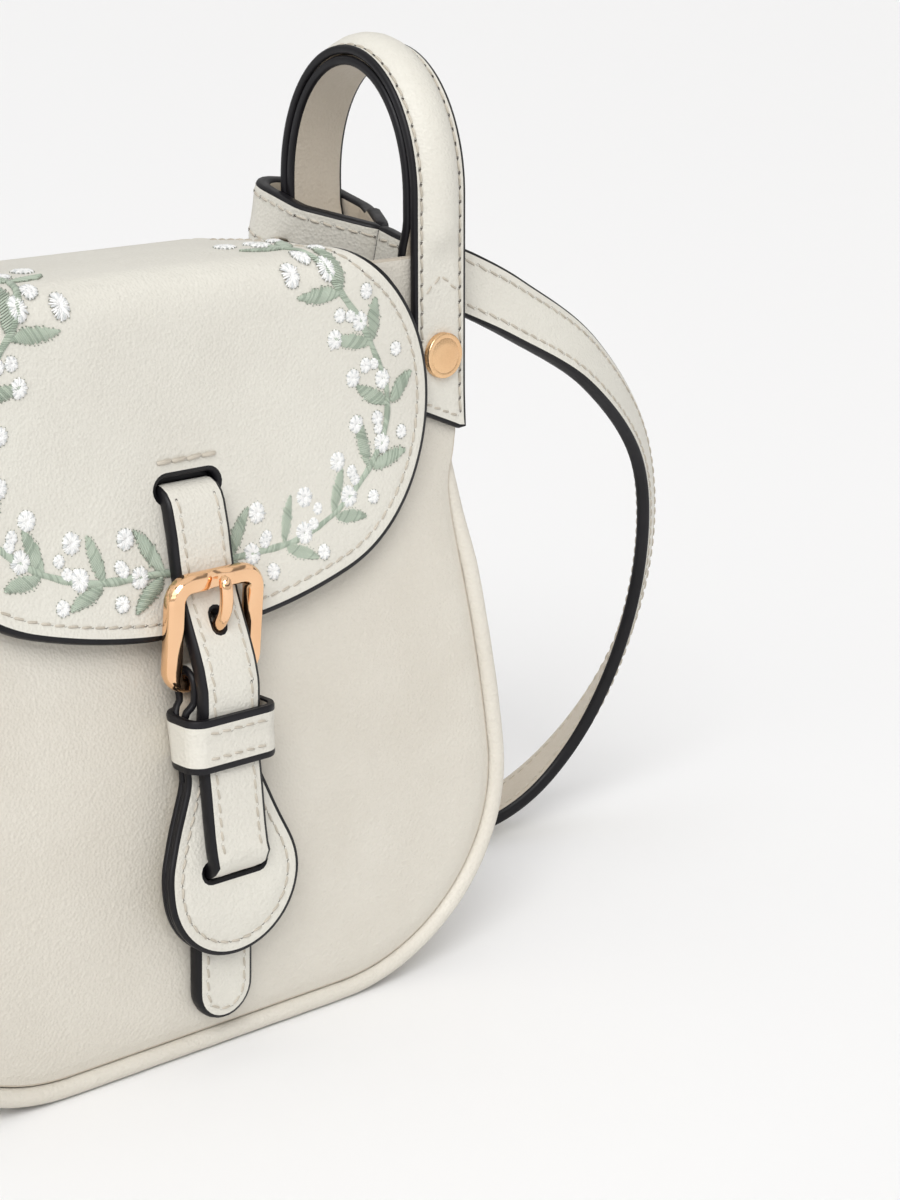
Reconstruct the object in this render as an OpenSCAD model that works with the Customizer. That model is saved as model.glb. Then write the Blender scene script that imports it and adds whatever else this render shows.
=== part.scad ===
// Small belted shoulder bag with a round flap, a buckled belt and two end handles.
// Units are millimetres. X runs across the bag, -Y is the front, +Z is up, and the
// origin is on the floor under the middle of the body.

/* [Body] */
// Widest width of the body, outside the piping
body_w = 153; // [140:1:170]
// Height of the mouth of the front and back panels
body_h = 147.5; // [143:0.5:156]
// Width of the panels at the mouth
mouth_w = 139; // [132:1:144]
// Depth of the body where it is fullest
body_d = 60.4; // [54:0.2:70]
// Depth of the body at its mouth
mouth_d = 38.4; // [36:0.2:42]
// Radius of the two bottom corners
corner_r = 43.5; // [34:0.5:50]
// Height at which the body is fullest
full_z = 30; // [20:1:40]
// Height at which the front starts to curve back upright
turn_z = 88; // [78:1:98]
// Height above which the front stands upright
straight_z = 122; // [116:1:130]
// Height of the end gussets
gusset_h = 127; // [110:1:130]

/* [Leather] */
// Thickness of the front and back panels
panel_t = 1.6; // [1.2:0.1:2]
// Thickness of the gusset
gusset_t = 1.6; // [1.2:0.1:2.4]
// Diameter of the piping
piping_d = 3.8; // [3:0.1:4.4]
// Thickness of the lining
lining_t = 1; // [0.6:0.1:1.4]
// Thickness of the stiffener behind a panel
stiffener_t = 1.2; // [0.8:0.1:1.2]
// Thickness of the board in the bottom
board_t = 1.8; // [1:0.1:2.4]
// Gap between pieces that are sewn or glued together
fit = 0.2; // [0.15:0.05:0.3]

/* [Flap] */
// Width of the flap at its widest
flap_w = 118.8; // [110:0.2:122]
// Width of the flap on top of the bag
flap_top_w = 80; // [76:1:92]
// Height of the flap's lowest edge
flap_bottom_z = 84.5; // [82:0.5:90]
// Radius of the flap's round sides
flap_side_r = 33; // [28:0.5:36]
// Height of the middle of the flap's round sides
flap_side_z = 121.5; // [118:0.5:125]
// Thickness of the flap's outer leather
flap_t = 1.8; // [1.4:0.1:2.2]
// Thickness of the flap's lining leather
flap_lining_t = 1.2; // [0.8:0.1:1.6]
// Room between the front panel and the flap
flap_gap = 2.4; // [2.4:0.1:3.4]
// Radius of the bend at the front of the flap's top, at mid thickness
flap_bend_r = 5; // [4:0.2:5.4]
// Height of the strip of the flap that is sewn to the back panel
back_strip_h = 24; // [14:1:30]

/* [Handles] */
// Width of a handle
handle_w = 12.8; // [11:0.2:13]
// Room between the flap's side and a handle
handle_gap = 0.4; // [0.4:0.1:1]
// Thickness of a handle's outer leather
handle_t = 1.8; // [1.4:0.1:2]
// Thickness of a handle's inner leather
handle_inner_t = 1.6; // [1.2:0.1:1.8]
// Width of the padding in a handle
core_w = 8.6; // [6:0.2:9]
// Height of the padding in a handle
core_h = 1.8; // [1.2:0.1:2.4]
// Height of a handle's top edge
handle_top_z = 187.6; // [180:0.2:196]
// Height at which the padding ends
padding_z = 146; // [142:0.5:150]
// Height of the inner corner of a handle's foot
foot_z = 117; // [112:0.5:118]
// Slant of the end of a foot
foot_slant = 23; // [0:1:30]
// Height at which the inner leather ends inside the bag
tail_end_z = 120; // [118:0.5:122]

/* [Rivets] */
// Diameter of a rivet's head
rivet_d = 9.2; // [7:0.1:10]
// Height of a rivet's head
rivet_h = 1.3; // [0.8:0.1:1.6]
// Diameter of a rivet's shank
shank_d = 3; // [2:0.1:4]
// Height of the rivets
rivet_z = 127.5; // [126:0.5:130]

/* [Belt] */
// Width of the belt
belt_w = 12.2; // [10:0.2:12.6]
// Thickness of the belt
belt_t = 3; // [2.4:0.1:3.2]
// Height of the slit that the belt comes out of
slit_z = 110.5; // [108:0.5:113]
// Width of the slit
slit_w = 14; // [13:0.2:16]
// Height of the belt's tip
tip_z = 8; // [6:0.5:14]

/* [Tab] */
// Width of the tab at its round end
tab_w = 29.5; // [27:0.5:32]
// Height of the tab's round end
tab_bottom_z = 23; // [21:0.5:24]
// Width of the tab's neck under the keeper
neck_w = 16; // [13:0.2:16.4]
// Thickness of each of the tab's two leathers
tab_t = 1.6; // [1.2:0.1:1.7]
// Height of the slot in the tab
slot_z = 40; // [39:0.5:41]
// Width of the slot in the tab
slot_w = 18; // [14:0.5:20]
// Room between the front panel and the tab
tab_gap = 2.3; // [2.3:0.1:2.6]

/* [Keeper] */
// Width of the keeper, outside
keeper_w = 20.4; // [20:0.2:24]
// Height of the keeper's band
keeper_h = 9.5; // [6:0.1:9.8]
// Thickness of the keeper's band
keeper_t = 1.4; // [1:0.1:1.4]
// Height of the keeper's lower edge
keeper_z = 61; // [60.6:0.1:61]

/* [Buckle] */
// Width of the buckle
buckle_w = 22; // [21.4:0.2:24]
// Width of the buckle's bars
bar_w = 3.8; // [3:0.1:4]
// Thickness of the buckle's frame
bar_t = 3.2; // [2.8:0.1:3.4]
// Diameter of the hinge bar
hinge_bar_d = 3.8; // [3:0.1:3.8]
// Height of the hinge bar
bar_z = 76; // [76:0.2:77]
// Distance from the hinge bar to the top bar
bar_pitch = 19.7; // [19:0.1:21]
// Diameter of the prong
prong_d = 2.2; // [1.8:0.1:2.4]

/* [Snap] */
// Diameter of the magnetic snap
snap_d = 11; // [8:0.5:11]
// Thickness of each half of the snap, outside the leather
snap_t = 0.85; // [0.6:0.05:0.85]
// Height of the snap
snap_z = 50.5; // [50:0.5:52]

/* [Shoulder strap] */
// Width of the shoulder strap
strap_w = 12.2; // [10:0.2:13]
// Thickness of the shoulder strap
strap_t = 3; // [2.4:0.1:3.4]
// Tilt of the strap end that is sewn round a handle
strap_tilt = 14; // [8:1:16]

/* [Hidden] */

cream = [0.88, 0.86, 0.81];
cream_dark = [0.80, 0.77, 0.71];
lining_grey = [0.62, 0.58, 0.52];
rose_gold = [0.92, 0.74, 0.59];
board_brown = [0.55, 0.48, 0.40];

reach = 2 * body_w;
station_step = 3;
belt_step = 1.5;
soft_gap = 0.3;
running = 0.06;
$fn = 48;

// Slope of the front between its fullest and its upright stretch
lean = (body_d - mouth_d) / (straight_z - full_z);

// Half the depth of the body at a height
function half_depth(z) =
    z <= turn_z ? body_d / 2 - lean * pow(z - full_z, 2) / (2 * (turn_z - full_z))
    : z < straight_z ? mouth_d / 2 + lean * pow(straight_z - z, 2) / (2 * (straight_z - turn_z))
    : mouth_d / 2;

function reversed(v) = [for (i = [len(v) - 1 : -1 : 0]) v[i]];
function arc_points(c, r, a0, a1, n) =
    [for (i = [0 : n]) let (a = a0 + (a1 - a0) * i / n) c + r * [cos(a), sin(a)]];
function stations(a, b, step) =
    let (n = max(1, ceil(abs(b - a) / step))) [for (i = [0 : n]) a + (b - a) * i / n];
function unit(v) = v / norm(v);

// A rounded rectangle, centred
function round_rect(w, h, r) = concat(
    arc_points([w / 2 - r, h / 2 - r], r, 0, 90, 8),
    arc_points([-w / 2 + r, h / 2 - r], r, 90, 180, 8),
    arc_points([-w / 2 + r, -h / 2 + r], r, 180, 270, 8),
    arc_points([w / 2 - r, -h / 2 + r], r, 270, 360, 8));

// A flat shape in Y and Z, made w wide in X about a place in X
module across(w, x = 0) {
    translate([x - w / 2, 0, 0]) rotate([90, 0, 90]) linear_extrude(w) children();
}

// A flat shape in X and Z, made as deep as the whole bag in Y
module through_depth() {
    rotate([90, 0, 0]) linear_extrude(reach, center = true) children();
}

// A round hole or pin along Y between two distances from the middle plane
module along_y(d, x, z, y0, y1) {
    translate([x, min(y0, y1), z]) rotate([-90, 0, 0]) cylinder(d = d, h = abs(y1 - y0));
}

// Outline of the body seen from the front, drawn in by an inset
corner_x = body_w / 2 - corner_r;
function side_angle(r, inset) =
    let (d = [mouth_w / 2 - inset - corner_x, body_h - corner_r])
    atan2(d[1], d[0]) - acos(r / norm(d));
function side_foot(inset) =
    let (r = corner_r - inset, a = side_angle(r, inset))
    [corner_x + r * cos(a), corner_r + r * sin(a)];
function side_x(z, inset) =
    let (f = side_foot(inset), m = [mouth_w / 2 - inset, body_h])
    f[0] + (m[0] - f[0]) * (z - f[1]) / (m[1] - f[1]);
function body_outline(inset, top_z) =
    let (r = corner_r - inset,
         right = concat(arc_points([corner_x, corner_r], r, -90, side_angle(r, inset), 16),
                        [[side_x(top_z, inset), top_z]]))
    concat(right, [for (p = reversed(right)) [-p[0], p[1]]]);

// Lines and sheets that follow the front, a given distance off it
function front_line(table, extra, z0, z1, step) =
    [for (z = stations(z0, z1, step)) [-(half_depth(z) + lookup(z, table) + extra), z]];
module front_sheet(table, t, z0, z1, step = station_step) {
    polygon(concat(front_line(table, 0, z0, z1, step),
                   reversed(front_line(table, t, z0, z1, step))));
}
module body_profile(inset, z0, z1) {
    table_profile([[0, -inset]], z0, z1);
}
module table_profile(table, z0, z1) {
    front = front_line(table, 0, z0, z1, station_step);
    polygon(concat(front, reversed([for (p = front) [-p[0], p[1]]])));
}
module front_and_back(back) {
    mirror([0, back ? 1 : 0, 0]) children();
}

// Places of the handles, rivets and strap ends
handle_x = flap_w / 2 + handle_gap + handle_w / 2;
handle_face = mouth_d / 2 + fit + handle_t;
handle_r = handle_face;
arch_z = handle_top_z - handle_r;
rivet_y = mouth_d / 2 + fit + handle_t;
cap_t = 1;
cap_d = 8;
under_t = panel_t + fit + handle_inner_t + fit;

// Insets of the layers inside the leather
piping_r = piping_d / 2;
piping_sink = 1.2;
seam_depth = piping_sink + piping_r + fit;
// The piping slips behind the panel on its way up, and the panel widens over it
slip_z = 84;
under_z = 106;
pipe_top_z = tail_end_z - 2;
sunk = panel_t + piping_r + fit;
sink_line = [[slip_z, piping_sink], [under_z, sunk]];
edge_line = [[slip_z, piping_d + fit], [95, piping_d], [100, 1.8 * piping_r],
             [104, 1.35 * piping_r], [under_z, piping_r], [112, fit]];
seam_line = [[slip_z, -seam_depth], [under_z, -(sunk + piping_r + fit)]];
function panel_outline() =
    let (right = concat(
        arc_points([corner_x, corner_r], corner_r - edge_line[0][1],
                   -90, side_angle(corner_r - edge_line[0][1], edge_line[0][1]), 16),
        [for (e = edge_line) [side_x(e[0], e[1]), e[0]]],
        [[side_x(body_h, fit), body_h]]))
    concat(right, reversed([for (p = right) [-p[0], p[1]]]));
lining_inset = piping_d + 2 * fit;
lining_depth = under_t;
rivet_hole_d = shank_d + 2 * running;

module panel(back) {
    front_and_back(back)
    intersection() {
        across(reach) front_sheet([[0, -panel_t]], panel_t, -1, body_h);
        through_depth() polygon(panel_outline());
    }
}

module rivet_holes(back) {
    for (side = [-1, 1])
        along_y(rivet_hole_d, side * handle_x, rivet_z, back ? 0 : -reach / 2, back ? reach / 2 : 0);
}

module front_panel() {
    color(cream) difference() {
        panel(false);
        rivet_holes(false);
        snap_hole();
    }
}

module back_panel() {
    color(cream) difference() {
        panel(true);
        rivet_holes(true);
    }
}

module gusset() {
    color(cream) intersection() {
        through_depth() difference() {
            polygon(body_outline(0, gusset_h));
            polygon(body_outline(gusset_t, body_h));
        }
        across(reach) table_profile(seam_line, -1, gusset_h);
    }
}

// Piping: one tube round the sides and bottom of a panel
pipe_sides = 8;
function pipe_path() =
    let (r = corner_r - piping_r, top_z = pipe_top_z,
         a = side_angle(r, piping_r),
         f = side_foot(piping_r),
         side = [for (z = stations(top_z, f[1], 6)) [side_x(z, piping_r), z]],
         corner = arc_points([corner_x, corner_r], r, a, -90, 18),
         half = concat([for (i = [0 : len(side) - 2]) side[i]], corner),
         flat = [for (p = concat(half, reversed([for (q = half) [-q[0], q[1]]]))) p])
    [for (p = flat) [p[0], -(half_depth(p[1]) - lookup(p[1], sink_line)), p[1]]];
function path_tangent(path, i) =
    unit(path[min(i + 1, len(path) - 1)] - path[max(i - 1, 0)]);
function tube_points(path, r, sides) = [
    for (i = [0 : len(path) - 1])
        let (t = path_tangent(path, i), u = unit(cross(t, [0, 1, 0])), v = cross(t, u))
        for (k = [0 : sides - 1]) let (a = 360 * k / sides)
            path[i] + r * (u * cos(a) + v * sin(a))
];
// Faces of a tube of rings; the quads of the turned side are split the other way
function skin_faces(rings, sides, turned = -1) = concat(
    [[for (k = [sides - 1 : -1 : 0]) k]],
    [for (i = [0 : rings - 2]) for (k = [0 : sides - 1]) let (n = (k + 1) % sides)
        each k == turned
            ? [[i * sides + k, i * sides + n, (i + 1) * sides + k],
               [i * sides + n, (i + 1) * sides + n, (i + 1) * sides + k]]
            : [[i * sides + k, i * sides + n, (i + 1) * sides + n],
               [i * sides + k, (i + 1) * sides + n, (i + 1) * sides + k]]],
    [[for (k = [0 : sides - 1]) (rings - 1) * sides + k]]);
module piping(back) {
    path = pipe_path();
    front_and_back(back)
        polyhedron(tube_points(path, piping_r, pipe_sides), skin_faces(len(path), pipe_sides));
}
module front_piping() { color(cream) piping(false); }
module back_piping() { color(cream) piping(true); }

// Stiffeners, lining, board and pocket inside
module stiffener(back) {
    front_and_back(back)
    intersection() {
        across(reach) front_sheet([[0, -(panel_t + fit + stiffener_t)]], stiffener_t,
                                  board_top_z, tail_end_z - 2);
        through_depth() polygon(body_outline(lining_inset + fit, body_h));
    }
}
board_top_z = gusset_t + fit + board_t;
module front_stiffener() {
    color(board_brown) difference() {
        stiffener(false);
        at_snap() along_y(snap_washer_d + 1, 0, 0, -snap_reach, snap_reach);
    }
}
module back_stiffener() { color(board_brown) stiffener(true); }

module lining_space(extra, z0, z1) {
    intersection() {
        through_depth() polygon(body_outline(lining_inset + extra, z1));
        across(reach) body_profile(lining_depth + extra, z0, z1);
    }
}
lining_floor_z = board_top_z + fit;
lining_top_z = body_h - 1.5;
end_top_z = min(gusset_h - 1, rivet_z - cap_d / 2 - soft_gap);
module lining() {
    color(lining_grey) difference() {
        intersection() {
            lining_space(0, lining_floor_z, lining_top_z);
            translate([-reach / 2, -reach / 2, lining_floor_z]) cube([reach, reach, reach]);
        }
        lining_space(lining_t, lining_floor_z + lining_t, body_h + 1);
        for (side = [-1, 1])
            translate([side > 0 ? side_x(end_top_z, 0) - 10 : -reach, -reach / 2, end_top_z])
                cube([reach - side_x(end_top_z, 0) + 10, reach, reach]);
        rivet_holes(false);
        rivet_holes(true);
    }
}

board_w = 2 * corner_x;
module base_board() {
    board_d = 2 * (half_depth(0) - seam_depth - 2);
    color(board_brown)
    translate([-board_w / 2, -board_d / 2, gusset_t + fit]) cube([board_w, board_d, board_t]);
}

pocket_w = 76;
pocket_z = 52;
pocket_top_z = 112;
pocket_t = 0.8;
module slip_pocket() {
    color(lining_grey)
    mirror([0, 1, 0]) across(pocket_w)
        front_sheet([[0, -(lining_depth + lining_t + fit + pocket_t)]], pocket_t,
                    pocket_z, pocket_top_z);
}

// Magnetic snap: the socket on the front panel and the stud on the tab
snap_shank_d = 4;
snap_washer_d = 12;
snap_washer_t = 0.8;
module at_snap() {
    slope = -lean * (snap_z - full_z) / (turn_z - full_z);
    translate([0, -half_depth(snap_z), snap_z]) rotate([atan(slope), 0, 0]) children();
}
module snap_hole() {
    at_snap() along_y(snap_shank_d + 2 * running, 0, 0, -snap_reach, snap_reach);
}
snap_reach = 8;
module snap_socket() {
    outer_y = -fit - snap_t;
    inner_y = panel_t + fit;
    color(rose_gold) at_snap() {
        along_y(snap_d, 0, 0, outer_y, outer_y + snap_t);
        along_y(snap_shank_d, 0, 0, outer_y, inner_y + snap_washer_t);
        along_y(snap_washer_d, 0, 0, inner_y, inner_y + snap_washer_t);
    }
}
module snap_stud() {
    face_y = -tab_gap + fit;
    color(rose_gold) at_snap() {
        along_y(snap_d, 0, 0, face_y, face_y + snap_t);
        along_y(snap_shank_d, 0, 0, face_y - tab_t / 2, face_y + snap_t);
    }
}

// Handles: an outer leather over padding, and an inner leather
core_r = (pow(core_w / 2, 2) + pow(core_h, 2)) / (2 * core_h);
crown_z = core_h - core_r;
module handle_crown(extra) {
    intersection() {
        translate([0, crown_z]) circle(r = core_r + extra, $fn = 96);
        translate([-handle_w / 2, 0]) square([handle_w, handle_w]);
    }
}
// Cross-section with the inner leather's side at the bottom edge
module handle_section() {
    difference() {
        union() {
            translate([-handle_w / 2, 0]) square([handle_w, handle_t]);
            handle_crown(handle_t);
        }
        handle_crown(0);
    }
}
module core_section() {
    intersection() {
        translate([0, crown_z]) circle(r = core_r - fit, $fn = 96);
        translate([-handle_w / 2, fit / 2]) square([handle_w, handle_w]);
    }
}
// A section swept over the arch and down both limbs
module arch_sweep(r_inner, foot) {
    translate([0, 0, arch_z]) rotate([90, 0, 90])
        rotate_extrude(angle = 180, $fn = 96) translate([r_inner, 0]) rotate(-90) children();
    for (back = [0, 1]) mirror([0, 1 - back, 0])
        translate([0, r_inner, foot]) linear_extrude(arch_z - foot) children();
}
outer_r0 = handle_r - handle_t;
module handle_outer() {
    color(cream) difference() {
        union() {
            arch_sweep(outer_r0, padding_z) handle_section();
            for (back = [0, 1]) front_and_back(back == 1)
                across(handle_w) front_sheet([[0, fit]], handle_t, foot_z - 8, padding_z);
        }
        for (back = [0, 1]) front_and_back(back == 1) {
            translate([-handle_w / 2, 0, foot_z]) rotate([0, foot_slant, 0])
                translate([-reach / 2, -reach / 2, -reach]) cube([reach, reach / 2, reach]);
            along_y(rivet_hole_d, 0, rivet_z, -reach / 2, 0);
        }
    }
}
module handle_core() {
    color(board_brown) arch_sweep(outer_r0 + fit / 2, padding_z) core_section();
}
inner_r0 = outer_r0 - fit - handle_inner_t;
jog_top_z = body_h + 6;
jog_foot_z = body_h + 0.5;
tail_y0 = mouth_d / 2 - panel_t - fit - handle_inner_t;
module handle_inner_profile() {
    polygon([[-inner_r0, arch_z], [-inner_r0, jog_top_z], [-tail_y0, jog_foot_z],
             [-tail_y0, tail_end_z], [-tail_y0 - handle_inner_t, tail_end_z],
             [-tail_y0 - handle_inner_t, jog_foot_z],
             [-inner_r0 - handle_inner_t, jog_top_z], [-inner_r0 - handle_inner_t, arch_z]]);
}
module handle_inner() {
    color(cream_dark) difference() {
        union() {
            translate([0, 0, arch_z]) rotate([90, 0, 90])
                rotate_extrude(angle = 180, $fn = 96)
                translate([inner_r0, -handle_w / 2]) square([handle_inner_t, handle_w]);
            for (back = [0, 1]) front_and_back(back == 1)
                across(handle_w) handle_inner_profile();
        }
        along_y(rivet_hole_d, 0, rivet_z, -reach / 2, reach / 2);
    }
}
module on_side(side) {
    mirror([side < 0 ? 1 : 0, 0, 0]) translate([handle_x, 0, 0]) children();
}
module right_handle_outer() { on_side(1) handle_outer(); }
module right_handle_core() { on_side(1) handle_core(); }
module right_handle_inner() { on_side(1) handle_inner(); }
module left_handle_outer() { on_side(-1) handle_outer(); }
module left_handle_core() { on_side(-1) handle_core(); }
module left_handle_inner() { on_side(-1) handle_inner(); }

// Rivets through each foot, with caps inside the lining
shank_end = mouth_d / 2 - under_t - lining_t;
module each_foot() {
    for (side = [-1, 1], back = [0, 1]) front_and_back(back == 1) on_side(side) children();
}
module handle_rivets() {
    color(rose_gold) each_foot() {
        along_y(rivet_d, 0, rivet_z, -(rivet_y + fit + rivet_h), -(rivet_y + fit));
        along_y(shank_d, 0, rivet_z, -(rivet_y + fit), -(shank_end - fit - cap_t / 2));
    }
}
module rivet_caps() {
    color(rose_gold) each_foot() difference() {
        along_y(cap_d, 0, rivet_z, -(shank_end - fit), -(shank_end - fit - cap_t));
        along_y(rivet_hole_d, 0, rivet_z, -reach / 2, -(shank_end - fit - cap_t / 2 - fit));
    }
}

// Strap end: a loop sewn round the back limb, with a tongue past the front limb
strap_y = -12;
strap_z = 142.5;
strap_x0 = handle_x + handle_w / 2 + 1.6;
loop_room = 0.8;
loop_corner = 3;
loop_half = handle_w / 2 + loop_room - loop_corner;
loop_back_y = handle_r + core_h + 1.6;
loop_front_y = 14;
join_x = 0.8;
join_y = 1;
loop_z = strap_z + (handle_r - strap_y) * tan(strap_tilt);
// The tongue's middle line runs from the join to its end, in the tilted plane
tongue_x = strap_x0 - handle_x;
tongue_y = handle_r - (handle_r - strap_y) / cos(strap_tilt);
tongue_r = 6;
tongue_path = concat(
    [[join_x, join_y], [join_x, tongue_y + tongue_r]],
    [for (p = arc_points([join_x + tongue_r, tongue_y + tongue_r], tongue_r, 190, 270, 8)) p],
    [[tongue_x, tongue_y]]);
function path_normal(path, i) =
    let (t = path_tangent(path, i)) [-t[1], t[0]];
// Outline round a ring of circles, each held as [x, y, radius], drawn out by an extra
function tangent_angle(a, b) =
    let (d = [b[0] - a[0], b[1] - a[1]]) atan2(d[1], d[0]) - acos((a[2] - b[2]) / norm(d));
function ring_turn(ring, i) =
    let (n = len(ring), a0 = tangent_angle(ring[(i + n - 1) % n], ring[i]),
         a1 = tangent_angle(ring[i], ring[(i + 1) % n]))
    [a0, a1 - 360 * floor((a1 - a0) / 360)];
function ring_outline(ring, extra, first = 0) = [
    for (i = [first : len(ring) - 1])
        let (a = ring_turn(ring, i))
        each arc_points([ring[i][0], ring[i][1]], ring[i][2] + extra, a[0], a[1], 6)
];
loop_ring = [[join_x, join_y, 0.3],
             [loop_half, loop_front_y, loop_corner], [loop_half, loop_back_y, loop_corner],
             [-loop_half, loop_back_y, loop_corner], [-loop_half, loop_front_y, loop_corner]];
// The loop's outside, with the tongue growing out of its narrow end
function strap_end_outline() =
    let (join = [join_x, join_y], r = loop_ring[0][2] + strap_t, h = asin(strap_t / 2 / r),
         a = ring_turn(loop_ring, 0), last = len(tongue_path) - 1)
    concat(arc_points(join, r, a[0], -90 - h, 4),
           [for (i = [1 : last]) tongue_path[i] - path_normal(tongue_path, i) * strap_t / 2],
           [for (i = [last : -1 : 1]) tongue_path[i] + path_normal(tongue_path, i) * strap_t / 2],
           arc_points(join, r, -90 + h, a[1], 4),
           ring_outline(loop_ring, strap_t, 1));
// The loop's lower edge is cut where it crosses the back panel's top edge
module edge_relief() {
    y0 = mouth_d / 2 - lining_depth - lining_t - soft_gap;
    translate([-reach, y0, 0]) cube([reach, mouth_d / 2 + soft_gap - y0, body_h + soft_gap]);
}
module strap_end() {
    color(cream) difference() {
        sewn_loop();
        edge_relief();
    }
}
module sewn_loop() {
    translate([0, handle_r, loop_z]) rotate([strap_tilt, 0, 0])
    translate([0, -handle_r, -strap_w / 2]) linear_extrude(strap_w) difference() {
        polygon(strap_end_outline());
        polygon(ring_outline(loop_ring, 0));
    }
}
module right_strap_end() { on_side(1) strap_end(); }
module left_strap_end() { on_side(-1) strap_end(); }

// Flap: a sheet from the fold at the back, over the mouth and down the front
flap_all_t = flap_t + fit + flap_lining_t;
hinge_y = mouth_d / 2 + fit + flap_all_t / 2;
hinge_z = body_h + 0.8 + flap_all_t / 2;
flap_front_y = mouth_d / 2 + flap_gap + flap_all_t / 2;
bend_y = flap_front_y - flap_bend_r;
bend_z = hinge_z - flap_bend_r;
// Outline of the flap seen from the front
flap_side_x = flap_w / 2 - flap_side_r;
flap_arc_r = (pow(flap_side_x, 2) + pow(flap_side_z - flap_bottom_z, 2) - pow(flap_side_r, 2))
    / (2 * (flap_side_z - flap_bottom_z - flap_side_r));
flap_arc_z = flap_bottom_z + flap_arc_r;
flap_arc_angle = atan2(flap_side_x, flap_arc_z - flap_side_z);
flap_top_angle = acos((flap_top_w / 2 - flap_side_x) / flap_side_r);
function flap_outline() =
    let (right = concat(
        arc_points([0, flap_arc_z], flap_arc_r, -90, -90 + flap_arc_angle, 8),
        arc_points([flap_side_x, flap_side_z], flap_side_r, -90 + flap_arc_angle,
                   flap_top_angle, 24),
        [[flap_top_w / 2, handle_top_z]]))
    concat(right, reversed([for (p = right) [-p[0], p[1]]]));
// One of the flap's two leathers, between two depths from its outer face
module flap_sheet(d0, d1) {
    r_out = flap_bend_r + flap_all_t / 2;
    front0 = flap_gap + flap_all_t - d0;
    front1 = flap_gap + flap_all_t - d1;
    polygon(concat(
        arc_points([-bend_y, bend_z], r_out - d0, 90, 180, 12),
        reversed(front_line([[0, front0]], 0, flap_bottom_z - 1, bend_z - 0.5, station_step)),
        front_line([[0, front1]], 0, flap_bottom_z - 1, bend_z - 0.5, station_step),
        reversed(arc_points([-bend_y, bend_z], r_out - d1, 90, 180, 12)),
        [[hinge_y, hinge_z + flap_all_t / 2 - d1], [hinge_y, hinge_z + flap_all_t / 2 - d0]]));
}
module flap_layer(d0, d1) {
    intersection() {
        across(flap_w) flap_sheet(d0, d1);
        through_depth() polygon(flap_outline());
    }
}
slit_h = 5;
flap_out = flap_gap + flap_all_t;
module flap_outer() {
    color(cream) {
        difference() {
            flap_layer(0, flap_t);
            translate([-slit_w / 2, -reach / 2, slit_z - slit_h / 2])
                cube([slit_w, reach / 2, slit_h]);
        }
        // The fold at the back turns with the flap
        translate([-flap_top_w / 2, hinge_y, hinge_z]) rotate([0, 90, 0])
            difference() {
                cylinder(r = flap_all_t / 2, h = flap_top_w);
                translate([-flap_all_t, -flap_all_t, -1]) cube([2 * flap_all_t, flap_all_t, flap_top_w + 2]);
            }
    }
}
module flap_lining() {
    color(cream_dark) intersection() {
        flap_layer(flap_t + fit, flap_all_t);
        translate([-reach / 2, -reach + hinge_y - fit, 0]) cube([reach, reach, reach]);
    }
}
module flap_back_strip() {
    top_z = hinge_z - flap_all_t / 2 - soft_gap;
    color(cream)
    mirror([0, 1, 0]) across(flap_top_w)
        front_sheet([[0, fit]], flap_all_t, top_z - back_strip_h, top_z);
}

// Belt: from the slit, under the buckle, over the hinge bar and through the tab's slot
root_t = flap_t + fit / 2;
module belt_root() {
    color(cream)
    across(slit_w - 2 * soft_gap)
        front_sheet([[0, flap_out - flap_t + fit / 2]], root_t - fit,
                    slit_z - slit_h / 2 + soft_gap, slit_z + slit_h / 2 - soft_gap);
}
bar_off = 4.8;
hinge_bar_r = hinge_bar_d / 2;
fold_r = hinge_bar_r + running;
slot_h = belt_t + 1;
slot_low_z = slot_z - slot_h / 2;
tab_lift = 1.5;
lift_z = slot_low_z + 10;
neck_low_z = 66;
neck_top_z = keeper_z + keeper_h + 0.5;
fold_z = bar_z - fold_r;
tab_back_line = [[0, tab_gap + tab_lift], [slot_low_z, tab_gap + tab_lift], [lift_z, tab_gap],
                 [neck_top_z, tab_gap], [fold_z, bar_off - fold_r - tab_t],
                 [bar_z, bar_off - fold_r - tab_t]];
tab_front_line = [[0, tab_gap + tab_lift + tab_t + fit], [slot_low_z, tab_gap + tab_lift + tab_t + fit],
                  [lift_z, tab_gap + tab_t + fit], [neck_low_z, tab_gap + tab_t + fit],
                  [fold_z, bar_off + fold_r]];
over_tab = tab_t + soft_gap;
belt_line = [[0, tab_gap + tab_lift + tab_t + fit + over_tab],
             [slot_low_z, tab_gap + tab_lift + tab_t + fit + over_tab],
             [lift_z, tab_gap + tab_t + fit + over_tab], [neck_low_z, tab_gap + tab_t + fit + over_tab],
             [fold_z, bar_off + fold_r + over_tab], [bar_z, bar_off + fold_r + over_tab],
             [bar_z + 4, bar_off + fold_r + over_tab - 0.2],
             [flap_bottom_z + 7, flap_out + soft_gap], [body_h, flap_out + soft_gap]];
tail_off = 0.4;
belt_low_z = slot_z - belt_t / 2;
pin_slot_d = prong_d + 0.8;
pin_slot_z0 = bar_z + 3;
pin_slot_z1 = bar_z + 12;
belt_end_off = flap_out + soft_gap + belt_t / 2;
belt_axis_y = -(half_depth(slit_z) + belt_end_off);
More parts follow.
